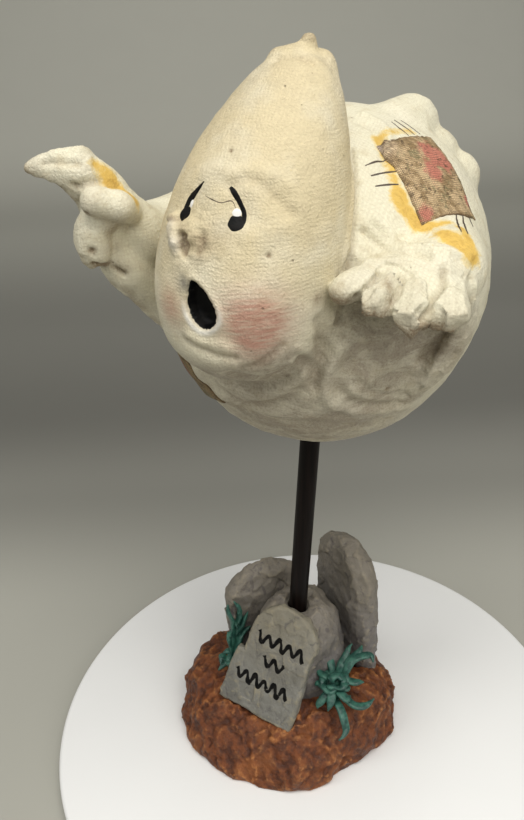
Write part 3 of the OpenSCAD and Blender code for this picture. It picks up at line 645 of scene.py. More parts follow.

# Sculpted lines on the ghost: height (raised is above 0), half width, dirt and painted shade along the line,
# and points, all in millimetres
SCULPTED = [
    (-0.6, 1.6, 0.15, [(15, -46.6, 262), (20, -44.6, 263.3), (26, -43.6, 260), (31.5, -42.2, 254.2)]),
    (0.35, 2, 0, [(14, -45.5, 265.5), (22, -43, 266.5), (30, -40.5, 261.5), (34, -39, 254.5)]),
    (0.3, 2, 0, [(-1, -44, 262), (6, -44.5, 266), (12, -45, 266)]),
    (-1.5, 1.1, 0.9, [(2.2, -51.5, 249), (3.2, -52.2, 246.5), (3.3, -52.2, 243.6)]),
    (-0.8, 1, 0.7, [(-4.6, -48, 249.6), (-2.6, -49, 252), (0.4, -49, 252.2)]),
    (0.8, 1.2, 0.1, [(6, -52, 243.6), (8, -52.6, 243.8), (10.5, -53, 243.6)]),
    (-0.7, 1.2, 0.35, [(9.3, -52.6, 249.5), (9.8, -53, 247), (9.6, -53.2, 244.8)]),
    (0.35, 2.4, 0, [(20.5, -50.5, 251), (26, -47.5, 249), (30, -45, 251.5)]),
    (-1.1, 1.3, 0.25, [(3.2, -56.6, 218.9), (8.5, -57.4, 217.6), (14.2, -57.3, 216.2), (18.9, -55.9, 215.6)]),
    (0.8, 2, 0, [(5, -57, 221), (11, -57.8, 219.8), (17, -56.6, 219.5)]),
    (-0.8, 1.2, 0.20, [(19.8, -53.8, 211.7), (23.6, -52.3, 213), (27, -51, 215.2), (30, -48, 219)]),
    (-1.6, 3.2, 0.20, [(16.3, -53.8, 206.8), (21, -46.3, 202.3), (27.8, -42.4, 204.5), (32, -40, 210)]),
    (1.5, 2.4, 0, [(0.6, -33, 193.5), (9.9, -33.4, 192), (17.4, -34.2, 194.6), (24.6, -35, 198.3),
     (29.4, -34.8, 202.9)]),
    (-1.1, 2.4, 0.15, [(-1, -32, 190), (9.9, -31.5, 188), (20, -32, 190.8), (28, -33, 196.5)]),
    (1.2, 2.3, 0, [(40.1, -30.1, 211), (35.2, -31.4, 200.6), (36.4, -27.9, 191.4), (41, -22.5, 187),
     (48, -15, 184.5), (54, -5, 182)]),
    (-1.1, 2.2, 0.15, [(43, -29, 206), (39, -29.5, 198), (41.5, -25.5, 192.3), (47, -18.5, 188.1),
     (53.5, -9, 185.3)]),
    (0.7, 2, 0, [(42.5, -26.5, 195.9), (46.5, -20, 190.9), (53, -10.9, 187.9), (59, -2, 185)]),
    (-0.5, 1.8, 0.08, [(44.5, -25.5, 198), (48.2, -19.5, 192.8), (53.6, -12.2, 189.8), (59.5, -7, 190)]),
    (0.6, 2.2, 0, [(45.2, -24.6, 201.5), (48.8, -19.9, 195.7), (53.4, -13.3, 192.4), (60.8, -9.9, 197)]),
    (-1.6, 2.2, 0.30, [(37.2, -38.7, 223), (36.2, -34.5, 214), (34.4, -32, 205), (33, -31.5, 198)]),
    (0.6, 1.4, 0, [(33.4, -44.5, 216.5), (34.4, -38.5, 211.5), (35, -33, 206)]),
    (-0.4, 1.3, 0.1, [(32.8, -42.1, 212), (33.6, -37, 207), (33, -33, 202)]),
    (0.5, 1.4, 0, [(31, -44.5, 211.5), (31.5, -39, 205.5), (30.5, -35, 201)]),
    (-0.5, 1.3, 0.1, [(36.1, -39.3, 217.2), (38, -34.5, 213.5), (39, -31, 208)]),
    (1.8, 1.8, 0, [(73.5, -12.1, 230), (70.5, -11, 216), (66, -10.5, 204), (61, -10.5, 196)]),
    (-1.8, 1.8, 0.35, [(69.5, -14, 226), (66, -13.5, 215), (61, -13, 203)]),
    (-1.5, 0.9, 0.45, [(51.3, -28, 235.5), (50.8, -34, 234), (49, -37.5, 231)]),
    (0.9, 1.4, 0, [(54.9, -25.4, 236), (55.8, -34, 235), (55.2, -41, 231.5)]),
    (0.8, 1.5, 0, [(62.5, -26, 236), (64.2, -33, 234), (64.8, -39, 229.5)]),
    (-1.3, 0.9, 0.40, [(58.6, -27, 236.5), (59.2, -32, 234), (58.6, -37, 231)]),
    (-1.4, 1, 0.45, [(68, -22, 237), (69.2, -26.9, 233.8), (68.1, -32.5, 230.5), (67.5, -38, 226.7)]),
    (1.1, 1.6, 0, [(44, -12, 246), (54, -14.5, 242), (64, -15, 240), (72, -12, 237)]),
    (-1.2, 1.3, 0.15, [(42, -17, 243.5), (52, -18.5, 240), (63, -19, 238.5)]),
    (1, 1.6, 0, [(40, -22, 240), (46, -24, 238.5), (54, -23, 238)]),
    (-1.1, 1.2, 0.25, [(39.5, -25, 236.5), (42.5, -29, 234.5), (45, -33, 232)]),
    (-1, 1.4, 0.2, [(-31, -46, 256), (-28, -42, 251), (-26.5, -38, 245)]),
    (-1.6, 0.9, 0.5, [(-33, -49, 236), (-30, -48, 232), (-26, -45, 229)]),
    (1, 1.5, 0, [(-33.3, -46.5, 268.6), (-37, -49, 268.8), (-40, -51.5, 268)]),
    (-0.9, 1.2, 0.25, [(-41.5, -54, 266), (-37, -51.5, 265.5), (-33, -49, 264.5)]),
    (-1.1, 1.1, 0.45, [(-34, -51, 259.5), (-31, -49.5, 259.8), (-28.5, -46.7, 260.2)]),
    (-1.5, 1.1, 0.45, [(-48.5, -54.5, 259), (-43, -50, 258), (-38, -46, 257)]),
    (-2.2, 4, 0, [(28.5, -8, 290.5), (31, -7, 287)]),
    (-1.2, 1.3, 0.10, [(14, -15, 290), (20, -14, 290.5), (25.4, -14.5, 289.1)]),
    (0.35, 2, 0, [(4, -34, 186), (16, -31, 183.5), (30, -26, 184), (44, -16, 181), (55, -2, 178)]),
    (-0.35, 2, 0.05, [(6, -33, 183.5), (18, -29, 180.5), (32, -24, 180.5), (45, -14, 178), (55, 0, 175.5)]),
    (0.3, 1.8, 0, [(10, -29, 176.5), (24, -24, 175.5), (40, -14, 174), (52, 2, 172)]),
    (0.35, 1.6, 0, [(52, -17, 203), (60, -14, 201), (66, -8, 199), (69, 2, 197)]),
    (-0.35, 1.6, 0.08, [(50, -17.5, 200), (58, -14, 197.5), (65, -8, 195.5), (68, 2, 194)]),
    (-0.8, 1.2, 0.10, [(28, 16, 266), (36, 12, 264.5), (41, 2, 259.5)]),
    (0.9, 1.8, 0, [(26, 22, 267.5), (35, 19, 266), (40, 10, 262)]),
    (-1.3, 0.9, 0.35, [(31.3, 1.1, 262.7), (37.5, -13.4, 251.6), (39.7, -19.5, 243), (40.4, -23.5, 236.2),
     (38.6, -30.5, 219.8)]),
    (0.8, 1.3, 0, [(30, -1.5, 264.5), (35.5, -16.5, 252.5), (37.5, -22.5, 243.5), (38.2, -26.5, 236.5),
     (37, -33, 221)]),
]

# Small pits: reach and depth in millimetres, place
PITS = [
    (0.8, 0.9, (-28.5, -55, 252.5)), (1.2, 1.2, (-31.5, -51, 240.5)), (0.8, 0.7, (51.3, -17.7, 193.9)),
    (0.7, 0.6, (28, -50, 245)), (0.6, 0.6, (12, -45, 274)),
]

# Soft spots of colour, with painted shade and painted highlights among them: mask, reach in millimetres,
# strength, place
SPOTS = [
    ("blush", 8, 0.85, (22, -55.3, 228.5)), ("blush", 8, 0.75, (29, -51.8, 227.5)),
    ("blush", 6, 0.60, (24.5, -54, 221)), ("blush", 5.5, 0.75, (-1.1, -55.2, 228.7)),
    ("ochre", 4, 0.9, (-25.5, -43, 261.5)), ("ochre", 3.6, 1, (-24.5, -41, 257)),
    ("ochre", 3.2, 0.9, (-23.8, -39, 252.5)), ("ochre", 2.6, 0.6, (-29, -46, 265.5)),
    ("dirt", 3.4, 0.45, (9.5, -55.2, 247.5)), ("dirt", 4.5, 0.30, (14, -53.6, 250)),
    ("dirt", 2.6, 0.45, (-48.5, -56, 259.5)), ("dirt", 3.5, 0.30, (52, -40, 227.5)),
    # The shade spots are painted shade under the hands, on the chin, neck and belly and under the right arm
    ("dirt", 3.5, 0.30, (66, -36, 225)), ("shade", 12, 1, (48, -23.5, 219)),
    ("shade", 12, 1, (58, -16, 213)), ("shade", 10, 0.7, (67, -11.5, 212)),
    ("shade", 14, 0.6, (50, -21, 203)), ("shade", 13, 0.6, (30, -38, 206)),
    ("shade", 9, 0.65, (26, -50, 215)), ("shade", 9, 0.45, (10, -52, 208)),
    ("shade", 14, 0.5, (6, -40, 203)), ("shade", 24, 0.75, (10, -30, 178)),
    ("shade", 20, 0.65, (40, -18, 180)), ("shade", 13, 0.5, (-30, -24, 222)),
    # The white spots are painted highlights on the nose
    ("grey", 2.6, 0.8, (4.6, -56.6, 236.5)), ("white", 2.6, 0.40, (0, -54, 246.5)),
    ("white", 2.4, 0.30, (-2.5, -51, 250.8)),
]

# Stains, and dirt with painted shade under the hands, painted along lines: mask, half width, strength, points
STAINS = [
    ("ochre", 2.3, 0.75, [(36.3, 10.5, 264), (39.8, 6.8, 261), (43, 2.8, 257.8), (45.8, -0.6, 254.2),
     (48.4, -2.8, 250.8)]),
    ("ochre", 2.6, 1.15, [(48.2, -3.8, 250.2), (50.6, -4.6, 247.6), (53, -4.2, 245.2), (55.6, -3.4, 242.6)]),
    ("ochre", 1.9, 0.75, [(54.1, -4.6, 242.6), (58, -2.7, 241), (62, 2, 240.6)]),
    ("ochre", 3, 1.25, [(63.5, -7.5, 241.4), (67, -9.6, 240.4), (70, -10.3, 238.8), (72.5, -10.3, 236.8)]),
    ("ochre", 1.5, 0.9, [(66, 0.5, 241.4), (68.6, -4, 240.4), (71, -8, 238.6)]),
    ("dirt", 2.2, 0.75, [(39.5, -40.5, 230), (43, -41, 229), (47, -40, 228.5)]),
    ("dirt", 2.2, 0.75, [(51, -41.5, 227.5), (54.5, -41.5, 226.5)]),
    ("dirt", 2.2, 0.75, [(59.5, -38.5, 223.5), (64, -37, 223), (69.5, -34.5, 222.5), (74, -31, 223)]),
    ("dirt", 1.6, 0.60, [(56.5, -38, 230), (56, -34, 234)]),
    ("dirt", 1.4, 0.35, [(-48, -53, 258.5), (-42, -49, 257.5), (-37, -45.5, 256.5)]),
    ("dirt", 2.5, 0.45, [(-24, -47, 249), (-27, -45.5, 244), (-27, -44, 239)]),
    ("dirt", 2, 0.50, [(-36, -46, 236), (-31, -45, 233.5), (-26, -43, 231)]),
    ("ochre", 2, 0.60, [(35.5, 12, 264.6), (38.5, 20, 264.6), (41, 27, 263.6)]),
]

# Outline of the open mouth on the face
MOUTH = [
    (7.5, -57, 237.8), (9.9, -57.2, 236.7), (12, -57.5, 234.9), (14.1, -58.1, 232.3), (15.2, -58.4, 229.6),
    (14.9, -58.4, 227), (13.1, -58.1, 224.9), (10.5, -57.3, 223.9), (8, -57.1, 224.8), (6.1, -56.9, 227.6),
    (5.4, -56.8, 230.7), (5.7, -56.8, 233.8), (6.6, -57, 236.5),
]
# How deep the mouth is, how many points its edge has, and where it is looked for
MOUTH_DEPTH, MOUTH_POINTS = 3.4, 60
MOUTH_MIDDLE, MOUTH_HALF, FACE_FRONT = 231, 16, -40
# The hood's colour fades in from this height over this much more
HOOD_LOW, HOOD_FADE = 212, 34


# Lumps pressed on in clay: the two ends of each and its radius
LUMPS = {
    "nose": [
        ((3.2, -45.6, 247.2), (3.2, -45.6, 247.2), 6.6),
        ((-3.2, -48, 251.2), (-1.8, -49.6, 249.4), 2.3),
        ((-0.9, -50.6, 248.2), (-0.3, -51.2, 246.8), 2.6),
        ((0.5, -52, 245.6), (1.2, -52.3, 244.4), 2.2),
        ((6.4, -51.2, 248.4), (7, -51.8, 246.2), 2.5),
        ((3.9, -50.4, 250.2), (4.6, -50.8, 249.4), 1.9),
    ],
    "hood_nub": [
        ((12.8, -9.6, 289.4), (18.8, -8.6, 290.7), 3.1),
        ((20, -7.4, 289.5), (20.6, -6.8, 294.1), 1.9),
        ((23, -6.8, 289), (21.8, -6.5, 294.2), 1.7),
    ],
    "right_thumb": [
        ((-27.8, -51.5, 255.2), (-23.6, -45.5, 253.2), 4.2),
        ((-23.6, -45.5, 253.2), (-27, -38, 249.5), 4.6),
    ],
}
OWN_SHAPE = ("nose", "hood_nub")


def bar(grid, start, end, radius):
    """Distances on the grid to a bar with round ends."""
    x, y, z = (axis * grid.step - first for axis, first in zip(grid.axes(), start))
    a, b, c = np.subtract(end, start)
    t = np.clip((x * a + y * b + z * c) / max(a * a + b * b + c * c, 1e-9), 0, 1)
    return np.sqrt((x - a * t) ** 2 + (y - b * t) ** 2 + (z - c * t) ** 2) - radius


def ghost_surface():
    """Points and faces of the melted ghost, each face's nearest piece, and how each point curves."""
    grid = Grid(GHOST, GHOST_STEP)
    fields = {node: grid.solid(node) for node in GHOST}
    for node, bars in LUMPS.items():
        field = np.full_like(fields[node], grid.reach) if node in OWN_SHAPE else fields[node]
        for lump in bars:
            field = melt(field, bar(grid, *lump), LUMP_BLEND)
        fields[node] = np.clip(field, -grid.reach, grid.reach).astype(np.float32)
    inside = hollows(np.minimum.reduce([*fields.values(), grid.solid("rod_socket"), grid.solid("rod")]))
    whole = None
    for node, crease in GHOST.items():
        if node == FIRST_CRISP:
            whole[inside] = -grid.reach
            whole = softened(whole, 5)
        whole = fields[node] if whole is None else melt(whole, fields[node], crease)
    whole = softened(whole, 1)
    points, faces = grid.surface(whole)
    points = relaxed(points, faces, 2)
    middle = points[faces].mean(1)
    names = list(GHOST)
    nearest = np.argmin([grid.at(fields[node], middle) for node in names], 0)
    curve = -grid.at(softened(whole.copy(), 12) - whole, points)
    return points, faces, names, nearest, curve


def flat_frame(outline):
    """Middle of an outline, and its two flat axes and outward axis."""
    line = np.asarray(outline, float)
    middle = line.mean(0)
    out = np.linalg.svd(line - middle)[2][2]
    if np.dot(out, (0, -1, 0)) < 0:
        out = -out
    up = np.array([0, 0, 1.0]) - out * out[2]
    up /= np.linalg.norm(up)
    return middle, np.cross(up, out), up, out


def closed_curve(outline, count):
    """A smooth closed curve of count points through an outline."""
    line = np.asarray(outline, float)
    fine = 24
    loop = smooth_line(np.vstack([line[-1], line, line[0], line[1]]), (len(line) + 2) * fine + 1)
    return loop[fine:-fine][:: max(1, len(line) * fine // count)][:count]


def inside_distance(points, outline):
    """Distance of each point from an outline, above 0 inside it and below 0 outside."""
    middle, across, up, _ = flat_frame(outline)
    loop = closed_curve(outline, MOUTH_POINTS)
    loop = np.stack([(loop - middle) @ across, (loop - middle) @ up], 1)
    flat = np.stack([(points - middle) @ across, (points - middle) @ up], 1)
    away = to_line(flat, np.vstack([loop, loop[:1]]))
    crossings = np.zeros(len(flat), int)
    for a, b in zip(loop, np.roll(loop, -1, 0)):
        spans = (a[1] > flat[:, 1]) != (b[1] > flat[:, 1])
        at = a[0] + (flat[:, 1] - a[1]) * (b[0] - a[0]) / (b[1] - a[1] + 1e-12)
        crossings += spans & (flat[:, 0] < at)
    return np.where(crossings % 2 == 1, away, -away)


# Points that a sculpted or painted line is made of
LINE_POINTS = 14


def near(points, line, reach):
    """How near each point lies, from 0 to 1, to a line or place moved on to the surface."""
    places = smooth_line(line, LINE_POINTS) if np.ndim(line) > 1 else [line]
    places = np.array([points[np.argmin(((points - place) ** 2).sum(1))] for place in places])
    away = to_line(points, places) if len(places) > 1 else np.linalg.norm(points - places, axis=1)
    return np.exp(-((away / reach) ** 2))


# The hands start this far to each side of this middle and this far forward, and fade in over this much
HAND_START, HAND_MIDDLE, HAND_FRONT, HAND_FADE = 34, 10, -2, 8
# The middle of the worn nose and how far it reaches
NOSE_PLACE, NOSE_REACH = (4.0, -50.5, 247.0), 7.0


def sculpt(points, normals, curve):
    """Moves the ghost's points for lumps, brush work and creases, and returns them with the colour masks,
    painted shade and painted highlights among them.
    """
    masks = {key: np.zeros(len(points)) for key in "hood ochre blush dirt shade grey white mouth".split()}
    hands = np.clip((np.abs(points[:, 0] - HAND_MIDDLE) - HAND_START) / HAND_FADE, 0, 1)
    hands *= np.clip((HAND_FRONT - points[:, 1]) / HAND_FADE, 0, 1)
    under = np.clip(-normals[:, 2] - 0.15, 0, 1)
    push = noise(points, 16, 1) * 0.28 + noise(points, 6, 2) * (0.15 + 0.25 * hands)
    push += noise(points, 2.4, 3) * (0.10 + hands * (0.10 + 0.6 * under))
    push += hands * (0.45 - lumps(points, 6.5, 77)) * 0.6
    push += hands * under * (0.4 - lumps(points, 3.0, 79)) * 0.9
    chipped = hands * np.where(points[:, 0] > HAND_MIDDLE, 1.0, 0.15)
    push -= 0.70 * chipped * np.clip(facets(points, normals, 6.5, 101), -1.6, 1.6)
    push -= 0.30 * chipped * np.clip(facets(points, normals, 2.6, 103), -0.8, 0.8)
    worn = np.exp(-((np.linalg.norm(points - NOSE_PLACE, axis=1) / NOSE_REACH) ** 2))
    push += worn * (noise(points, 1.8, 7) * 0.8 + (0.4 - lumps(points, 3.2, 87)) * 1.3)
    masks["dirt"] += worn * np.clip(noise(points, 2.3, 8) * 0.9 - 0.1, 0, 0.5)
    for height, width, dirt, line in SCULPTED:
        share = near(points, line, width)
        push += height * share
        masks["dirt"] += dirt * share
    for reach, depth, place in PITS:
        share = near(points, place, reach)
        push -= depth * share
        masks["dirt"] += 1.2 * share
    for key, reach, strength, line in SPOTS + STAINS:
        masks[key] += strength * near(points, line, reach)
    face = (points[:, 1] < FACE_FRONT) & (np.abs(points[:, 2] - MOUTH_MIDDLE) < MOUTH_HALF)
    depth = np.full(len(points), -99.0)
    depth[face] = inside_distance(points[face], MOUTH)
    out = flat_frame(MOUTH)[3]
    push *= depth < 0.3
    lip = np.exp(-(((depth + 1.1) / 0.75) ** 2))
    push += 0.4 * lip
    # Painted highlight along the lower lip
    masks["white"] += 0.75 * lip * np.clip((233 - points[:, 2]) / 6, 0, 1)
    # Hollows of the surface darken: painted shade
    masks["dirt"] = masks["dirt"] * (1 - lip) + np.clip(-curve * 0.9 - 0.05, 0, 0.5)
    # Painted shade on the surfaces that face down
    masks["shade"] += 0.55 * under
    # Painted shade under the hands, mottled
    masks["dirt"] += 0.9 * hands * under * np.clip(0.5 + 2 * noise(points, 3.0, 83), 0, 1)
    masks["mouth"] = np.clip(0.5 + depth / 0.6, 0, 1)
    sunk = np.clip(depth / 1.1, 0, 1)
    points = points + normals * push[:, None] - out * (MOUTH_DEPTH * sunk * (2 - sunk))[:, None]
    return points, {key: np.clip(value, 0, 1) for key, value in masks.items()}


points, faces, names, nearest, curve = ghost_surface()
points, masks = sculpt(points, vertex_normals(points, faces), curve)
head_faces = np.isin(nearest, [names.index("head_shell"), names.index("hood_nub"), names.index("nose")])
hood = np.zeros(len(points))
np.maximum.at(hood, faces[head_faces].ravel(), 1)
face_count = gathered(points, faces, np.ones(len(faces)))
for _ in range(12):
    hood = gathered(points, faces, hood[faces].mean(1)) / face_count
masks["hood"] = hood * np.clip((points[:, 2] - HOOD_LOW) / HOOD_FADE, 0, 1)
normals = vertex_normals(points, faces)
GHOST_TREE = BVHTree.FromPolygons(points.tolist(), faces.tolist())
for index, node in enumerate(names):
    part_points, part_faces, used = cut_out(points, faces, nearest == index)
    make_object(
        node + "_skin", part_points, part_faces, SHEET, (node,), normals[used],
        {key: value[used] for key, value in masks.items()},
    )

# Paint and cloth that lie on the ghost


def on_surface(place, lift=0.0, tree=GHOST_TREE):
    """The nearest place on a surface, raised by lift, and the way the surface faces there."""
    spot, normal, _, _ = tree.find_nearest(Vector(place))
    return np.array(spot) + np.array(normal) * lift, np.array(normal)


def thinned(share):
    """How thick paint still is at a share of the way from its middle to its edge."""
    return 1 - 0.9 * share**4


def add_stroke(name, line, widths, material, lift=0.12, steps=26, uneven=0.0, tree=GHOST_TREE):
    """A brush stroke along a line on a surface, as thin paint that thins out to its edges."""
    line = smooth_line(line, steps)
    widths = np.interp(np.linspace(0, 1, steps), np.linspace(0, 1, len(widths)), widths)
    along = np.gradient(line, axis=0)
    columns = 7
    grid = []
    for i in range(steps):
        centre, normal = on_surface(line[i], 0.0, tree)
        side = np.cross(normal, along[i])
        side /= np.linalg.norm(side) + 1e-9
        wobble = 1 + uneven * float(noise(np.array([line[i]]), 1.2, 5)[0])
        for j in range(columns):
            share = j / (columns - 1) * 2 - 1
            place = centre + side * share * widths[i] / 2 * wobble
            grid.append(on_surface(place, lift * thinned(share), tree)[0])
    return make_object(name, grid, sheet_faces(steps, columns), material)


def add_blob(name, centre, size, material, lift=0.14, turn=0.0, uneven=0.12):
    """A round dab of paint on the ghost: size is its width and height."""
    centre, normal = on_surface(centre)
    up = np.array([0, 0, 1.0]) - normal * normal[2]
    up /= np.linalg.norm(up)
    across = np.cross(up, normal)
    turns, rings = 28, 4
    spots = [on_surface(centre, lift)[0]]
    for r in range(1, rings + 1):
        for a in circle(turns):
            cos, sin = math.cos(a), math.sin(a)
            wobble = 1 + uneven * float(noise(centre[None] + [[3 * cos, 3 * sin, 0]], 1.6, 9)[0])
            u, v = size[0] / 2 * cos * r / rings * wobble, size[1] / 2 * sin * r / rings * wobble
            u, v = u * math.cos(turn) - v * math.sin(turn), u * math.sin(turn) + v * math.cos(turn)
            spots.append(on_surface(centre + across * u + up * v, lift * thinned(r / rings))[0])
    return make_object(name, spots, dial_faces(rings, turns), material)


def add_mouth_paint():
    """Black paint that lines the hollow of the mouth, up to its edge."""
    middle, _, _, out = flat_frame(MOUTH)
    loop = closed_curve(MOUTH, MOUTH_POINTS)
    # How far out each ring lies; the last one goes just under the lip
    shares = [0.0, 0.25, 0.5, 0.66, 0.78, 0.86, 0.92, 0.96, 1.0, 1.03]
    spots = []
    for share in shares:
        for p in loop if share else [middle]:
            aim = middle + (p - middle) * share
            spot = GHOST_TREE.ray_cast(Vector(aim + out * 8), Vector(-out))[0]
            spots.append(np.array(spot) + out * (0.14 if share <= 1 else -0.1))
    make_object("mouth_paint", spots, dial_faces(len(shares) - 1, len(loop), True), BLACK)


def add_patch(name, node, corners, material, pinks=(), thick=0.7):
    """A square of cloth of n by n faces, glued on the ghost, frayed at its edges, with a slight curl."""
    n = 44
    corners = np.asarray(corners, float)
    top, cloth, edge, pink, lilac = [], [], [], [], []
    wide = np.linalg.norm(corners[1] - corners[0])
    long = np.linalg.norm(corners[3] - corners[0])
    for j in range(n + 1):
        for i in range(n + 1):
            u, v = i / n, j / n
            near_edge = min(u, 1 - u, v, 1 - v)
            first, last = corners[0] * (1 - u) + corners[1] * u, corners[3] * (1 - u) + corners[2] * u
            place = first * (1 - v) + last * v
            if near_edge == 0:
                centre = corners.mean(0)
                place = centre + (place - centre) * (1 + 0.03 * float(noise(place[None], 1.3, 13)[0]))
            lift = thick * (0.55 + 0.45 * min(near_edge * 14, 1))
            lift += 0.12 * float(noise(place[None], 5, 14)[0])
            top.append(on_surface(place, lift)[0])
            cloth.append((u * wide, v * long))
            torn = max(0.0, 0.45 + 0.9 * float(noise(place[None], 3.5, 15)[0]))
            edge.append(max(0.0, 1 - near_edge * 30) * torn)
            pink.append(sum(math.exp(-((u - a) ** 2 + (v - b) ** 2) / reach**2) for a, b, reach in pinks))
            lilac.append(math.exp(-(u**2 + v**2) / 0.16**2))
    under = [on_surface(p, -0.15)[0] for p in top]
    size = (n + 1) ** 2
    quads = sheet_faces(n + 1, n + 1)
    back = [tuple(size + k for k in reversed(q)) for q in quads]
    rim = [*range(n)] + [n + j * (n + 1) for j in range(n)]
    rim += [n * (n + 1) + i for i in range(n, 0, -1)] + [j * (n + 1) for j in range(n, 0, -1)]
    walls = [(b, a, size + a, size + b) for a, b in zip(rim, rim[1:] + rim[:1])]
    masks = {"frayed": edge * 2, "pink": pink * 2, "lilac": lilac * 2}
    cloth_faces = quads + back + walls
    piece = make_object(name, top + under, cloth_faces, material, (node,), None, masks)
    layer = piece.data.uv_layers.new(name="cloth")
    places = np.array(cloth * 2)
    index = np.empty(len(piece.data.loops), int)
    piece.data.loops.foreach_get("vertex_index", index)
    layer.data.foreach_set("uv", places[index].ravel())


add_mouth_paint()
RIGHT_EYE = [(7, -45.2, 262), (4.4, -45.6, 259.3), (2.1, -45.9, 256.8), (0.9, -46.4, 254.2)]
LEFT_EYE = [
    (15.4, -46.3, 261.4), (17, -46.5, 259.8), (18.7, -46.9, 257.4), (20, -47.2, 255), (20.3, -47.8, 252.6),
]
add_blob("right_eye_light", (3.2, -46.2, 256.0), (1.4, 2.4), WHITE_DOT, 0.13)
add_blob("left_eye_light", (18.0, -48.0, 254.9), (2.5, 2.4), WHITE_DOT, 0.13)
add_stroke("right_eye_stroke", RIGHT_EYE, [0.4, 1.8, 1.7, 1.5], BLACK, 0.17, uneven=0.2)
add_blob("right_eye_pupil", (1.5, -47.0, 252.8), (3.8, 4.8), BLACK, 0.20)
add_stroke("left_eye_stroke", LEFT_EYE, [0.9, 1.5, 1.35, 1.45, 1.4], BLACK, 0.17, uneven=0.2)
add_blob("left_eye_pupil", (18.3, -48.8, 252.0), (5.2, 4.4), BLACK, 0.20, turn=0.2)
CRACK = [(8.2, -47.4, 258.8), (11, -48, 258), (13.7, -48.5, 257.6), (16.4, -47.7, 258.1), (17.7, -48, 256.4)]
add_stroke("forehead_crack", CRACK, [0.12, 0.26, 0.22, 0.26, 0.12], BROWN_INK, 0.04, 24, 0.5)

BACK_CLOTH = patch_finish("back_patch_cloth", (0.73, 0.54, 0.31), (0.080, 0.050, 0.025), (0.70, 0.22, 0.17))
FLANK_CLOTH = patch_finish("flank_patch_cloth", (0.36, 0.25, 0.11), (0.045, 0.030, 0.014), (0.34, 0.12, 0.07))
# Pink dabs of the back patch: place over its width and length, and reach
BACK_PINKS = [
    (0.66, 0.22, 0.17), (0.84, 0.36, 0.14), (0.50, 0.48, 0.14), (0.10, 0.90, 0.11), (0.95, 0.78, 0.08),
]
BACK_CORNERS = [(37, 7.2, 262.9), (45.5, 34, 261), (65.8, 20, 239), (55.4, -3.4, 242.4)]
FLANK_CORNERS = [(-41.5, -3, 198.5), (-27, -21, 203), (-2.2, -27, 184), (-24, -10, 172.5)]
add_patch("back_patch_cloth", "back_patch", BACK_CORNERS, BACK_CLOTH, BACK_PINKS)
add_patch("flank_patch_cloth", "flank_patch", FLANK_CORNERS, FLANK_CLOTH, [(0.5, 0.5, 0.2)])
STITCHES = [
    [(36.8, -2.1, 259), (38.8, 1, 259.6), (40.8, 4.1, 259.7)],
    [(39.4, -4, 256.6), (42.2, -0.6, 256.8), (44.9, 2.8, 256.6)],
    [(41.5, -6, 253.9), (44.2, -3.3, 254), (46.8, -0.5, 253.6)], [(35, 24.8, 266.4), (41.8, 22.7, 263.2)],
    [(35, 27.8, 266.6), (42.6, 26.4, 263)], [(36.2, 31.2, 266.4), (43.4, 29.8, 262.6)],
    [(62, 9, 242.6), (64.8, 2.6, 242), (67.4, -4.2, 240.9)],
    [(63.2, 12.6, 242), (66, 5.6, 241.4), (69, -3.2, 240.2)], [(64.5, 16.1, 241), (67, 11.1, 239)],
]
for index, line in enumerate(STITCHES):
    add_stroke(f"painted_stitch_{index + 1}", line, [0.45, 0.75, 0.4], BROWN_INK, 0.1, 16, 0.3)

# Mound and stones


def rough_surface(node, step, soft, push):
    """A node's surface, softened and then pushed in and out along its normals."""
    grid = Grid([node], step)
    points, faces = grid.surface(softened(grid.solid(node), soft))
    points = relaxed(points, faces, 1)
    normals = vertex_normals(points, faces)
    moved = points + normals * push(points, normals)[:, None]
    return moved, faces


def shade_masks(points, faces, spread, scale):
    """Proud and deep places of a surface, from how far it lies from its own smoothed copy; the deep places
    carry painted shade.
    """
    smooth = relaxed(points, faces, spread, 0.6)
    height = ((points - smooth) * vertex_normals(smooth, faces)).sum(1)
    return {"proud": np.clip(0.5 + height / scale, 0, 1), "deep": np.clip(-height / scale, 0, 1)}


def ridged(points, size, seed):
    """Sharp ridges between rounded hollows, from 0 to 1."""
    return 1 - np.abs(noise(points, size, seed)) * 2.2


def mound_push(points, normals):
    side = np.clip(points[:, 2] / 3, 0, 1)
    swirl = points + np.stack([noise(points, 8, 91 + k) for k in range(3)], 1) * 3.5
    dabs = noise(points, 11, 11) * 1.5
    dabs += (0.42 - lumps(swirl, 6.0, 23)) * 1.5 + (0.42 - lumps(swirl, 3.2, 25)) * 1.1
    dabs += noise(points, 2.0, 31) * 0.35 + ridged(swirl, 4.6, 21) * 0.35
    return (dabs - 0.5 * facets(points, normals, 5.5, 107)) * side


def stone_push(seed, chip, size):
    def push(points, normals):
        scoops = lumps(points, size, seed + 2)
        small = lumps(points, size * 0.45, seed + 3)
        rough = noise(points, 9, seed) * 0.4 + noise(points, 2.2, seed + 1) * 0.22
        cuts = np.clip(facets(points, normals, size * 0.8, seed + 4), -1.5, 1.5) * 0.35 * min(chip, 1.5)
        return rough + chip * (0.45 - scoops) + chip * 0.35 * (0.4 - small) - cuts

    return push


def add_rough(node, material, step, soft, push, spread, scale):
    points, faces = rough_surface(node, step, soft, push)
    points[:, 2] = np.maximum(points[:, 2], 0)
    masks = shade_masks(points, faces, spread, scale)
    make_object(node + "_skin", points, faces, material, (node,), None, masks)
    return BVHTree.FromPolygons(points.tolist(), faces.tolist())


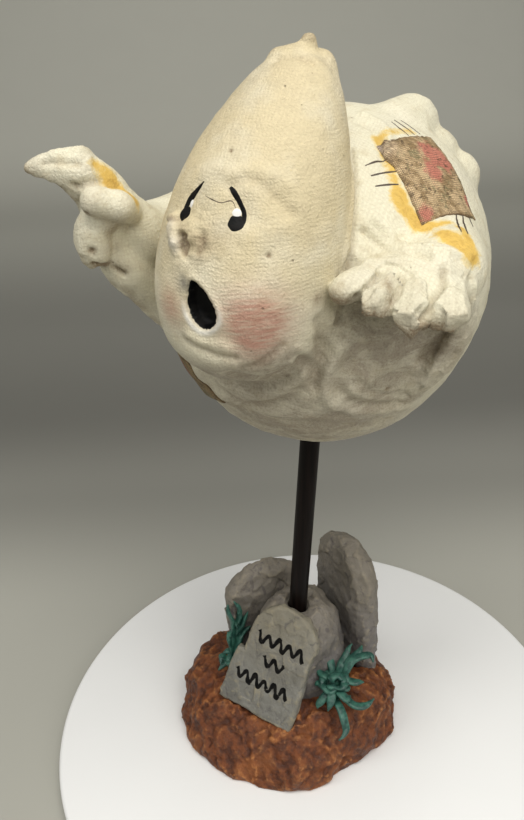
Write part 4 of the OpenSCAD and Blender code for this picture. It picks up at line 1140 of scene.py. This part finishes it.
add_rough("mound", EARTH, 0.75, 1, mound_push, 10, 1.1)
FRONT_PUSH = stone_push(41, 0.55, 9)
STONE_TREE = add_rough("front_gravestone", FRONT_STONE, 0.5, 0, FRONT_PUSH, 10, 0.7)
add_rough("left_gravestone", BACK_STONE, 0.6, 0, stone_push(51, 1.5, 9), 12, 1.0)
add_rough("right_gravestone", BACK_STONE, 0.6, 0, stone_push(61, 1.3, 10), 12, 1.0)
add_rough("centre_rock", BACK_STONE, 0.6, 0, stone_push(71, 2.6, 11), 12, 1.2)


# The front stone's face: the middle of its foot, how far it leans back and how far it is rolled
STONE_FOOT = (-3.9, -24.1, 22.95)
STONE_LEAN, STONE_ROLL = math.radians(24), math.radians(8)


def stone_place(across, up):
    """A place on the front stone's face, across and up from the middle of its foot."""
    turn = Matrix.Rotation(-STONE_LEAN, 3, "X") @ Matrix.Rotation(STONE_ROLL, 3, "Y")
    return np.array(STONE_FOOT) + np.array(turn @ Vector((across, 0, up)))


# Three rows of plain waves stand in for the stone's inscription: start, end and height, waves and reach
WAVE_ROWS = [(-8, 15, 35.5, 4.5, 2.7), (-2.5, 8, 26, 2, 2.5), (-13, 13, 15.5, 5.5, 2.8)]
for index, (start, end, height, waves, reach) in enumerate(WAVE_ROWS):
    turns = np.linspace(0, 1, int(waves * 8) + 1)
    across = start + (end - start) * turns
    up = height + reach * np.cos(2 * math.pi * waves * turns) * (0.8 + 0.2 * np.cos(13 * turns + index))
    line = [stone_place(a, b) for a, b in zip(across, up)]
    thick = 1.75 + 0.45 * np.cos(4 * math.pi * waves * turns + 0.8)
    add_stroke(f"painted_wave_{index + 1}", line, thick, BLACK, 0.12, len(line) * 3, 0.2, STONE_TREE)

# Rod, weeds and what the skins don't replace


def keep_node(node, material):
    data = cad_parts[node].data
    data.materials.clear()
    data.materials.append(material)


def tube(line, widths, thick, sides=8, crease=0.0):
    """Rings and faces of a flattened tube along a line, closed at both ends."""
    line = np.asarray(line, float)
    along = np.gradient(line, axis=0)
    along /= np.linalg.norm(along, axis=1)[:, None]
    side = np.cross(along, [0.15, 0.1, 1.0])
    side /= np.linalg.norm(side, axis=1)[:, None]
    up = np.cross(side, along)
    spots = []
    for centre, s, u, wide in zip(line, side, up, widths):
        for a in circle(sides):
            across, high = math.cos(a) * wide / 2, math.sin(a) * min(thick, wide) / 2
            spots.append(centre + s * across + u * (high - crease * (1 - abs(math.cos(a))) * wide))
    caps = [tuple(reversed(range(sides))), tuple(range(len(spots) - sides, len(spots)))]
    return np.array(spots), sheet_faces(len(line), sides, True) + caps


RIGHT_LEAVES = [
    [(-2.4, 3.5, 6.6), (-6, 7.4, 11.7), (-8.6, 12.1, 16)],
    [(0.2, 5.2, 8.6), (0.5, 10.3, 11.8), (1.4, 16.3, 14.6)],
    [(2.5, 5.5, 9.4), (7.1, 11.5, 13.6), (11.1, 14.4, 13.8), (13.3, 12.3, 12.5)],
    [(3.5, -2.7, 3.2), (11, -3.9, 1.3), (15.2, -1.8, 0.6), (17.8, 2.2, 2)],
    [(3.9, -6, 1.8), (8, -10, -1.2), (10.8, -12.5, -5.1), (9.1, -17.1, -6.5)],
    [(-1.2, -4.9, 3.1), (-3.4, -8.6, 1), (-3.7, -10.1, -1.3)],
    [(-2.8, -2.2, 4.6), (-6.2, -3.1, 5.2), (-7.7, -4.2, 4.9)],
    [(-3.4, 0.2, 6.9), (-7.1, 0.9, 7.6), (-9.4, 1.9, 8.1)],
    [(4.1, 1.5, 6.6), (8.1, 3.1, 8.1), (11.7, 4.6, 7.1)],
    [(1, -4.6, 5.2), (1.7, -8.4, 3.3), (1.5, -11.2, -0.1)],
    [(4.1, -4, 6), (7.6, -5.9, 4.7), (8.5, -3.4, 5.1)],
    [(-1.6, -1.8, 8.5), (0.8, 0.4, 11), (4.2, 0, 9.4), (3.7, -3.2, 8.1)],
    [(-2.4, -4.2, 6.8), (0.7, -5.9, 7), (3.2, -3.1, 8.4)],
    [(2.8, 6.9, 10.6), (5.3, 12.5, 13.7), (5.8, 17, 15.2)],
]
LEFT_LEAVES = [
    [(-1, 5, 12.9), (-0.3, 5.8, 21.9), (0.8, 6.8, 30.5), (-0.3, 5.7, 36.4)],
    [(-0.2, 5.8, 15.7), (1.5, 7.4, 22.9), (3.8, 9.7, 29)],
    [(-0.4, 5.6, 12.2), (1.9, 7.8, 17.3), (4.1, 10, 20.1)], [(-0.3, 3.9, 7), (2, 6.6, 8.1), (4.7, 7, 8.1)],
    [(-1.3, 1.9, 5.2), (-3, -1.7, 4.6), (-4.7, -5.6, 2.5)],
    [(-1.6, 4.5, 9.1), (-2.7, 3.4, 15.3), (-3.5, 2.7, 19.4)],
    [(-1.5, 4.6, 18.8), (-2, 4.1, 28.9), (-2.7, 3.4, 35.2)],
    [(-0.8, 3.6, 4.8), (-0.2, 5.8, 15.7), (0.9, 6.9, 26.4)],
    [(0.7, 2.4, 5.2), (3.8, 2.6, 5.1), (5, 4.8, 5.5)],
    [(-1.3, 1.8, 6.3), (-0.8, 5.2, 10.9), (1.2, 7.2, 13.3)], [(-1, 2.2, 8), (-2.4, 2.4, 16), (-1.2, 4.4, 24)],
    [(-0.6, 2, 7), (1, 4.2, 14), (2.6, 6.4, 17.5)],
]


# Where the leaves start, below the weed's root, and the turn from one short leaf to the next
WEED_FOOT, CURL_TURN = (0, 0, -4.5), 2.4
# Short leaves at the root of each weed
CURLS = [
    [(0.9, 0, 2), (1.3, 0.4, 5.5), (0.7, 0.9, 8.5)], [(-0.9, 0.5, 2), (-1.1, 0.9, 5.5), (-0.3, 1.5, 8)],
    [(0, -1, 2), (0.2, -1.8, 5), (1, -2.6, 7)], [(0, 0.2, 2), (-0.4, -0.4, 5), (-1.2, -1.4, 7.5)],
]


def add_weed(name, node, root, leaves, wide, seed, short):
    """A tuft of thick curling leaves rolled from clay, with short ones between them at the root."""
    root = np.asarray(root, float)
    curls = list(CURLS)
    for k in range(short):
        a, rise = CURL_TURN * k, k % 3
        curls.append([
            (1.8 * math.cos(a), 1.8 * math.sin(a), 2.0),
            (5.2 * math.cos(a), 5.2 * math.sin(a), 5.5 + rise * 1.6),
            (6.4 * math.cos(a + 0.7), 6.4 * math.sin(a + 0.7), 3.0 + rise * 2.6),
        ])
    spots, all_faces = [], []
    steps = 22
    t = np.linspace(0, 1, steps)
    for index, leaf in enumerate(leaves + curls):
        line = smooth_line(np.vstack([WEED_FOOT, leaf]), steps) + root
        widths = wide * (0.75 + 0.35 * np.sin(np.pi * t)) * np.clip((1 - t) * 3.2, 0.16, 1) ** 0.7
        line = line + np.stack([noise(line, 5, seed + index + 40 * k) for k in range(3)], 1) * 0.6
        leaf_spots, leaf_faces = tube(line, widths, wide * 0.62, 12, 0.10)
        start = sum(len(s) for s in spots)
        spots.append(leaf_spots)
        all_faces += [tuple(start + k for k in f) for f in leaf_faces]
    return make_object(name, np.vstack(spots), all_faces, WEED, (node,))


add_weed("right_weed_leaves", "right_weed", (27.2, -3.7, 31.0), RIGHT_LEAVES, 3.6, 100, 9)
add_weed("left_weed_leaves", "left_weed", (-21.0, -9.0, 28.6), LEFT_LEAVES, 3.3, 300, 5)


# Where the rod's axis meets the table, its lean and the way that it leans, its diameter in the
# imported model, and how much thinner, and shorter at each end, the painted rod is
ROD_FOOT = (0.728, 3.772, 0.0)
ROD_LEAN, ROD_HEADING = math.radians(4.6), math.radians(29)
ROD_D, ROD_THINNER, ROD_SHORTER = 8.0, 0.12, 0.3


def add_rod():
    """The painted rod, very slightly uneven along its length."""
    low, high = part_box("rod")
    slope = math.tan(ROD_LEAN)
    step = np.array([slope * math.cos(ROD_HEADING), slope * math.sin(ROD_HEADING), 1.0])
    heights = np.linspace(low.z / MM + ROD_SHORTER, high.z / MM - ROD_SHORTER, 60)
    line = np.array(ROD_FOOT) + step * heights[:, None]
    widths = ROD_D - ROD_THINNER + 0.05 * noise(line, 9, 81)
    spots, rod_faces = tube(line, widths, ROD_D + 1, 48)
    return make_object("rod_painted", spots, rod_faces, ROD, ("rod",))


add_rod()
keep_node("rod_socket", CLAY)

# Floor, light and camera

# How far round from the front the photograph was taken
VIEW_TURN = math.radians(29)
# The turntable's middle, radius and thickness, in millimetres
DISC_MIDDLE = (11.0, 5.4)
DISC_R, DISC_THICK = 118.5, 8.0


def add_disc():
    """The round white turntable under the ornament, with a soft edge."""
    turns = 160
    rows = [(DISC_R * 0.5, 0), (DISC_R - 1.6, 0), (DISC_R - 0.6, -0.35), (DISC_R, -1.2)]
    rows.append((DISC_R, -DISC_THICK))
    x, y = DISC_MIDDLE
    points = [(x + r * math.cos(a), y + r * math.sin(a), z) for r, z in rows for a in circle(turns)]
    faces = dial_faces(len(rows), turns, True)
    smooth_object("turntable", [(x, y, 0), *points], faces, TABLE_WHITE)


# The backdrop's half width and height, and where and how tightly it sweeps up, in millimetres
BACKDROP_HALF, BACKDROP_TOP = 9000, 3000
SWEEP_START, SWEEP_R = 1000, 700


def add_backdrop():
    """A grey table that sweeps up behind the ornament, with painted light and shade, darkest behind its
    middle as in the photograph.
    """
    steps = 24
    rows = [(-BACKDROP_HALF, -DISC_THICK)]
    for a in circle(4 * steps)[: steps + 1]:
        rows.append((SWEEP_START + SWEEP_R * math.sin(a), SWEEP_R * (1 - math.cos(a)) - DISC_THICK))
    rows.append((SWEEP_START + SWEEP_R, BACKDROP_TOP))
    turn = Matrix.Rotation(VIEW_TURN, 4, "Z")
    points = [turn @ Vector((x, y, z)) for y, z in rows for x in (-BACKDROP_HALF, BACKDROP_HALF)]
    smooth_object("backdrop", points, sheet_faces(len(rows), 2), backdrop_finish(VIEW_TURN))


def add_light(name, place, aim, size, power, tint=(1, 1, 1)):
    lamp = bpy.data.lights.new(name, "AREA")
    lamp.shape = "DISK"
    lamp.size = size
    lamp.energy = power
    lamp.color = tint
    item = placed(name, lamp)
    item.location = place
    item.rotation_euler = (Vector(aim) - Vector(place)).to_track_quat("-Z", "Y").to_euler()


# The photograph's view: place in metres, looking down, tilt, and focal length over picture height
VIEW_PLACE = (0.1253, -0.2335, 0.3125)
VIEW_PITCH, VIEW_ROLL = math.radians(28.9), math.radians(-3.0)
VIEW_FOCAL = 800 / 820


def add_camera():
    """The photograph's view: 29 degrees round from the front, looking down, tilted slightly."""
    place = Vector(VIEW_PLACE)
    level = Vector((-math.sin(VIEW_TURN), math.cos(VIEW_TURN), 0))
    ahead = level * math.cos(VIEW_PITCH) + Vector((0, 0, -math.sin(VIEW_PITCH)))
    right = Vector((math.cos(VIEW_TURN), math.sin(VIEW_TURN), 0))
    up = right.cross(ahead)
    cos, sin = math.cos(VIEW_ROLL), math.sin(VIEW_ROLL)
    right, up = right * cos + up * sin, up * cos - right * sin
    view = bpy.data.cameras.new("camera")
    view.sensor_width = 36
    view.lens = VIEW_FOCAL * view.sensor_width
    view.clip_start = 0.01
    item = placed("camera", view)
    item.matrix_world = Matrix.Translation(place) @ Matrix((right, up, -ahead)).transposed().to_4x4()
    bpy.context.scene.camera = item


add_disc()
add_backdrop()
add_camera()
# Lamps: place and aim in metres, size in metres, power in watts and colour
add_light("overhead", (0.24, -0.24, 0.98), (0.0, 0.0, 0.15), 0.8, 7.4, (1.0, 0.975, 0.925))
add_light("front_left", (-0.60, -0.75, 1.00), (0.0, 0.0, 0.2), 0.9, 5.0, (1.0, 0.985, 0.955))
add_light("front_right", (0.98, -0.42, 0.75), (0.0, 0.0, 0.2), 0.9, 5.4, (1.0, 0.985, 0.955))
add_light("backdrop_wash", (-0.42, 0.76, 1.3), (-0.85, 1.55, 0.2), 0.9, 1.6, (1.0, 0.985, 0.95))

world = bpy.data.worlds.new("studio")
world.use_nodes = True
sky = world.node_tree.nodes["Background"]
sky.inputs["Color"].default_value = (0.85, 0.87, 0.88, 1)
sky.inputs["Strength"].default_value = 0.23
bpy.context.scene.world = world
bpy.context.scene.view_settings.view_transform = "Standard"
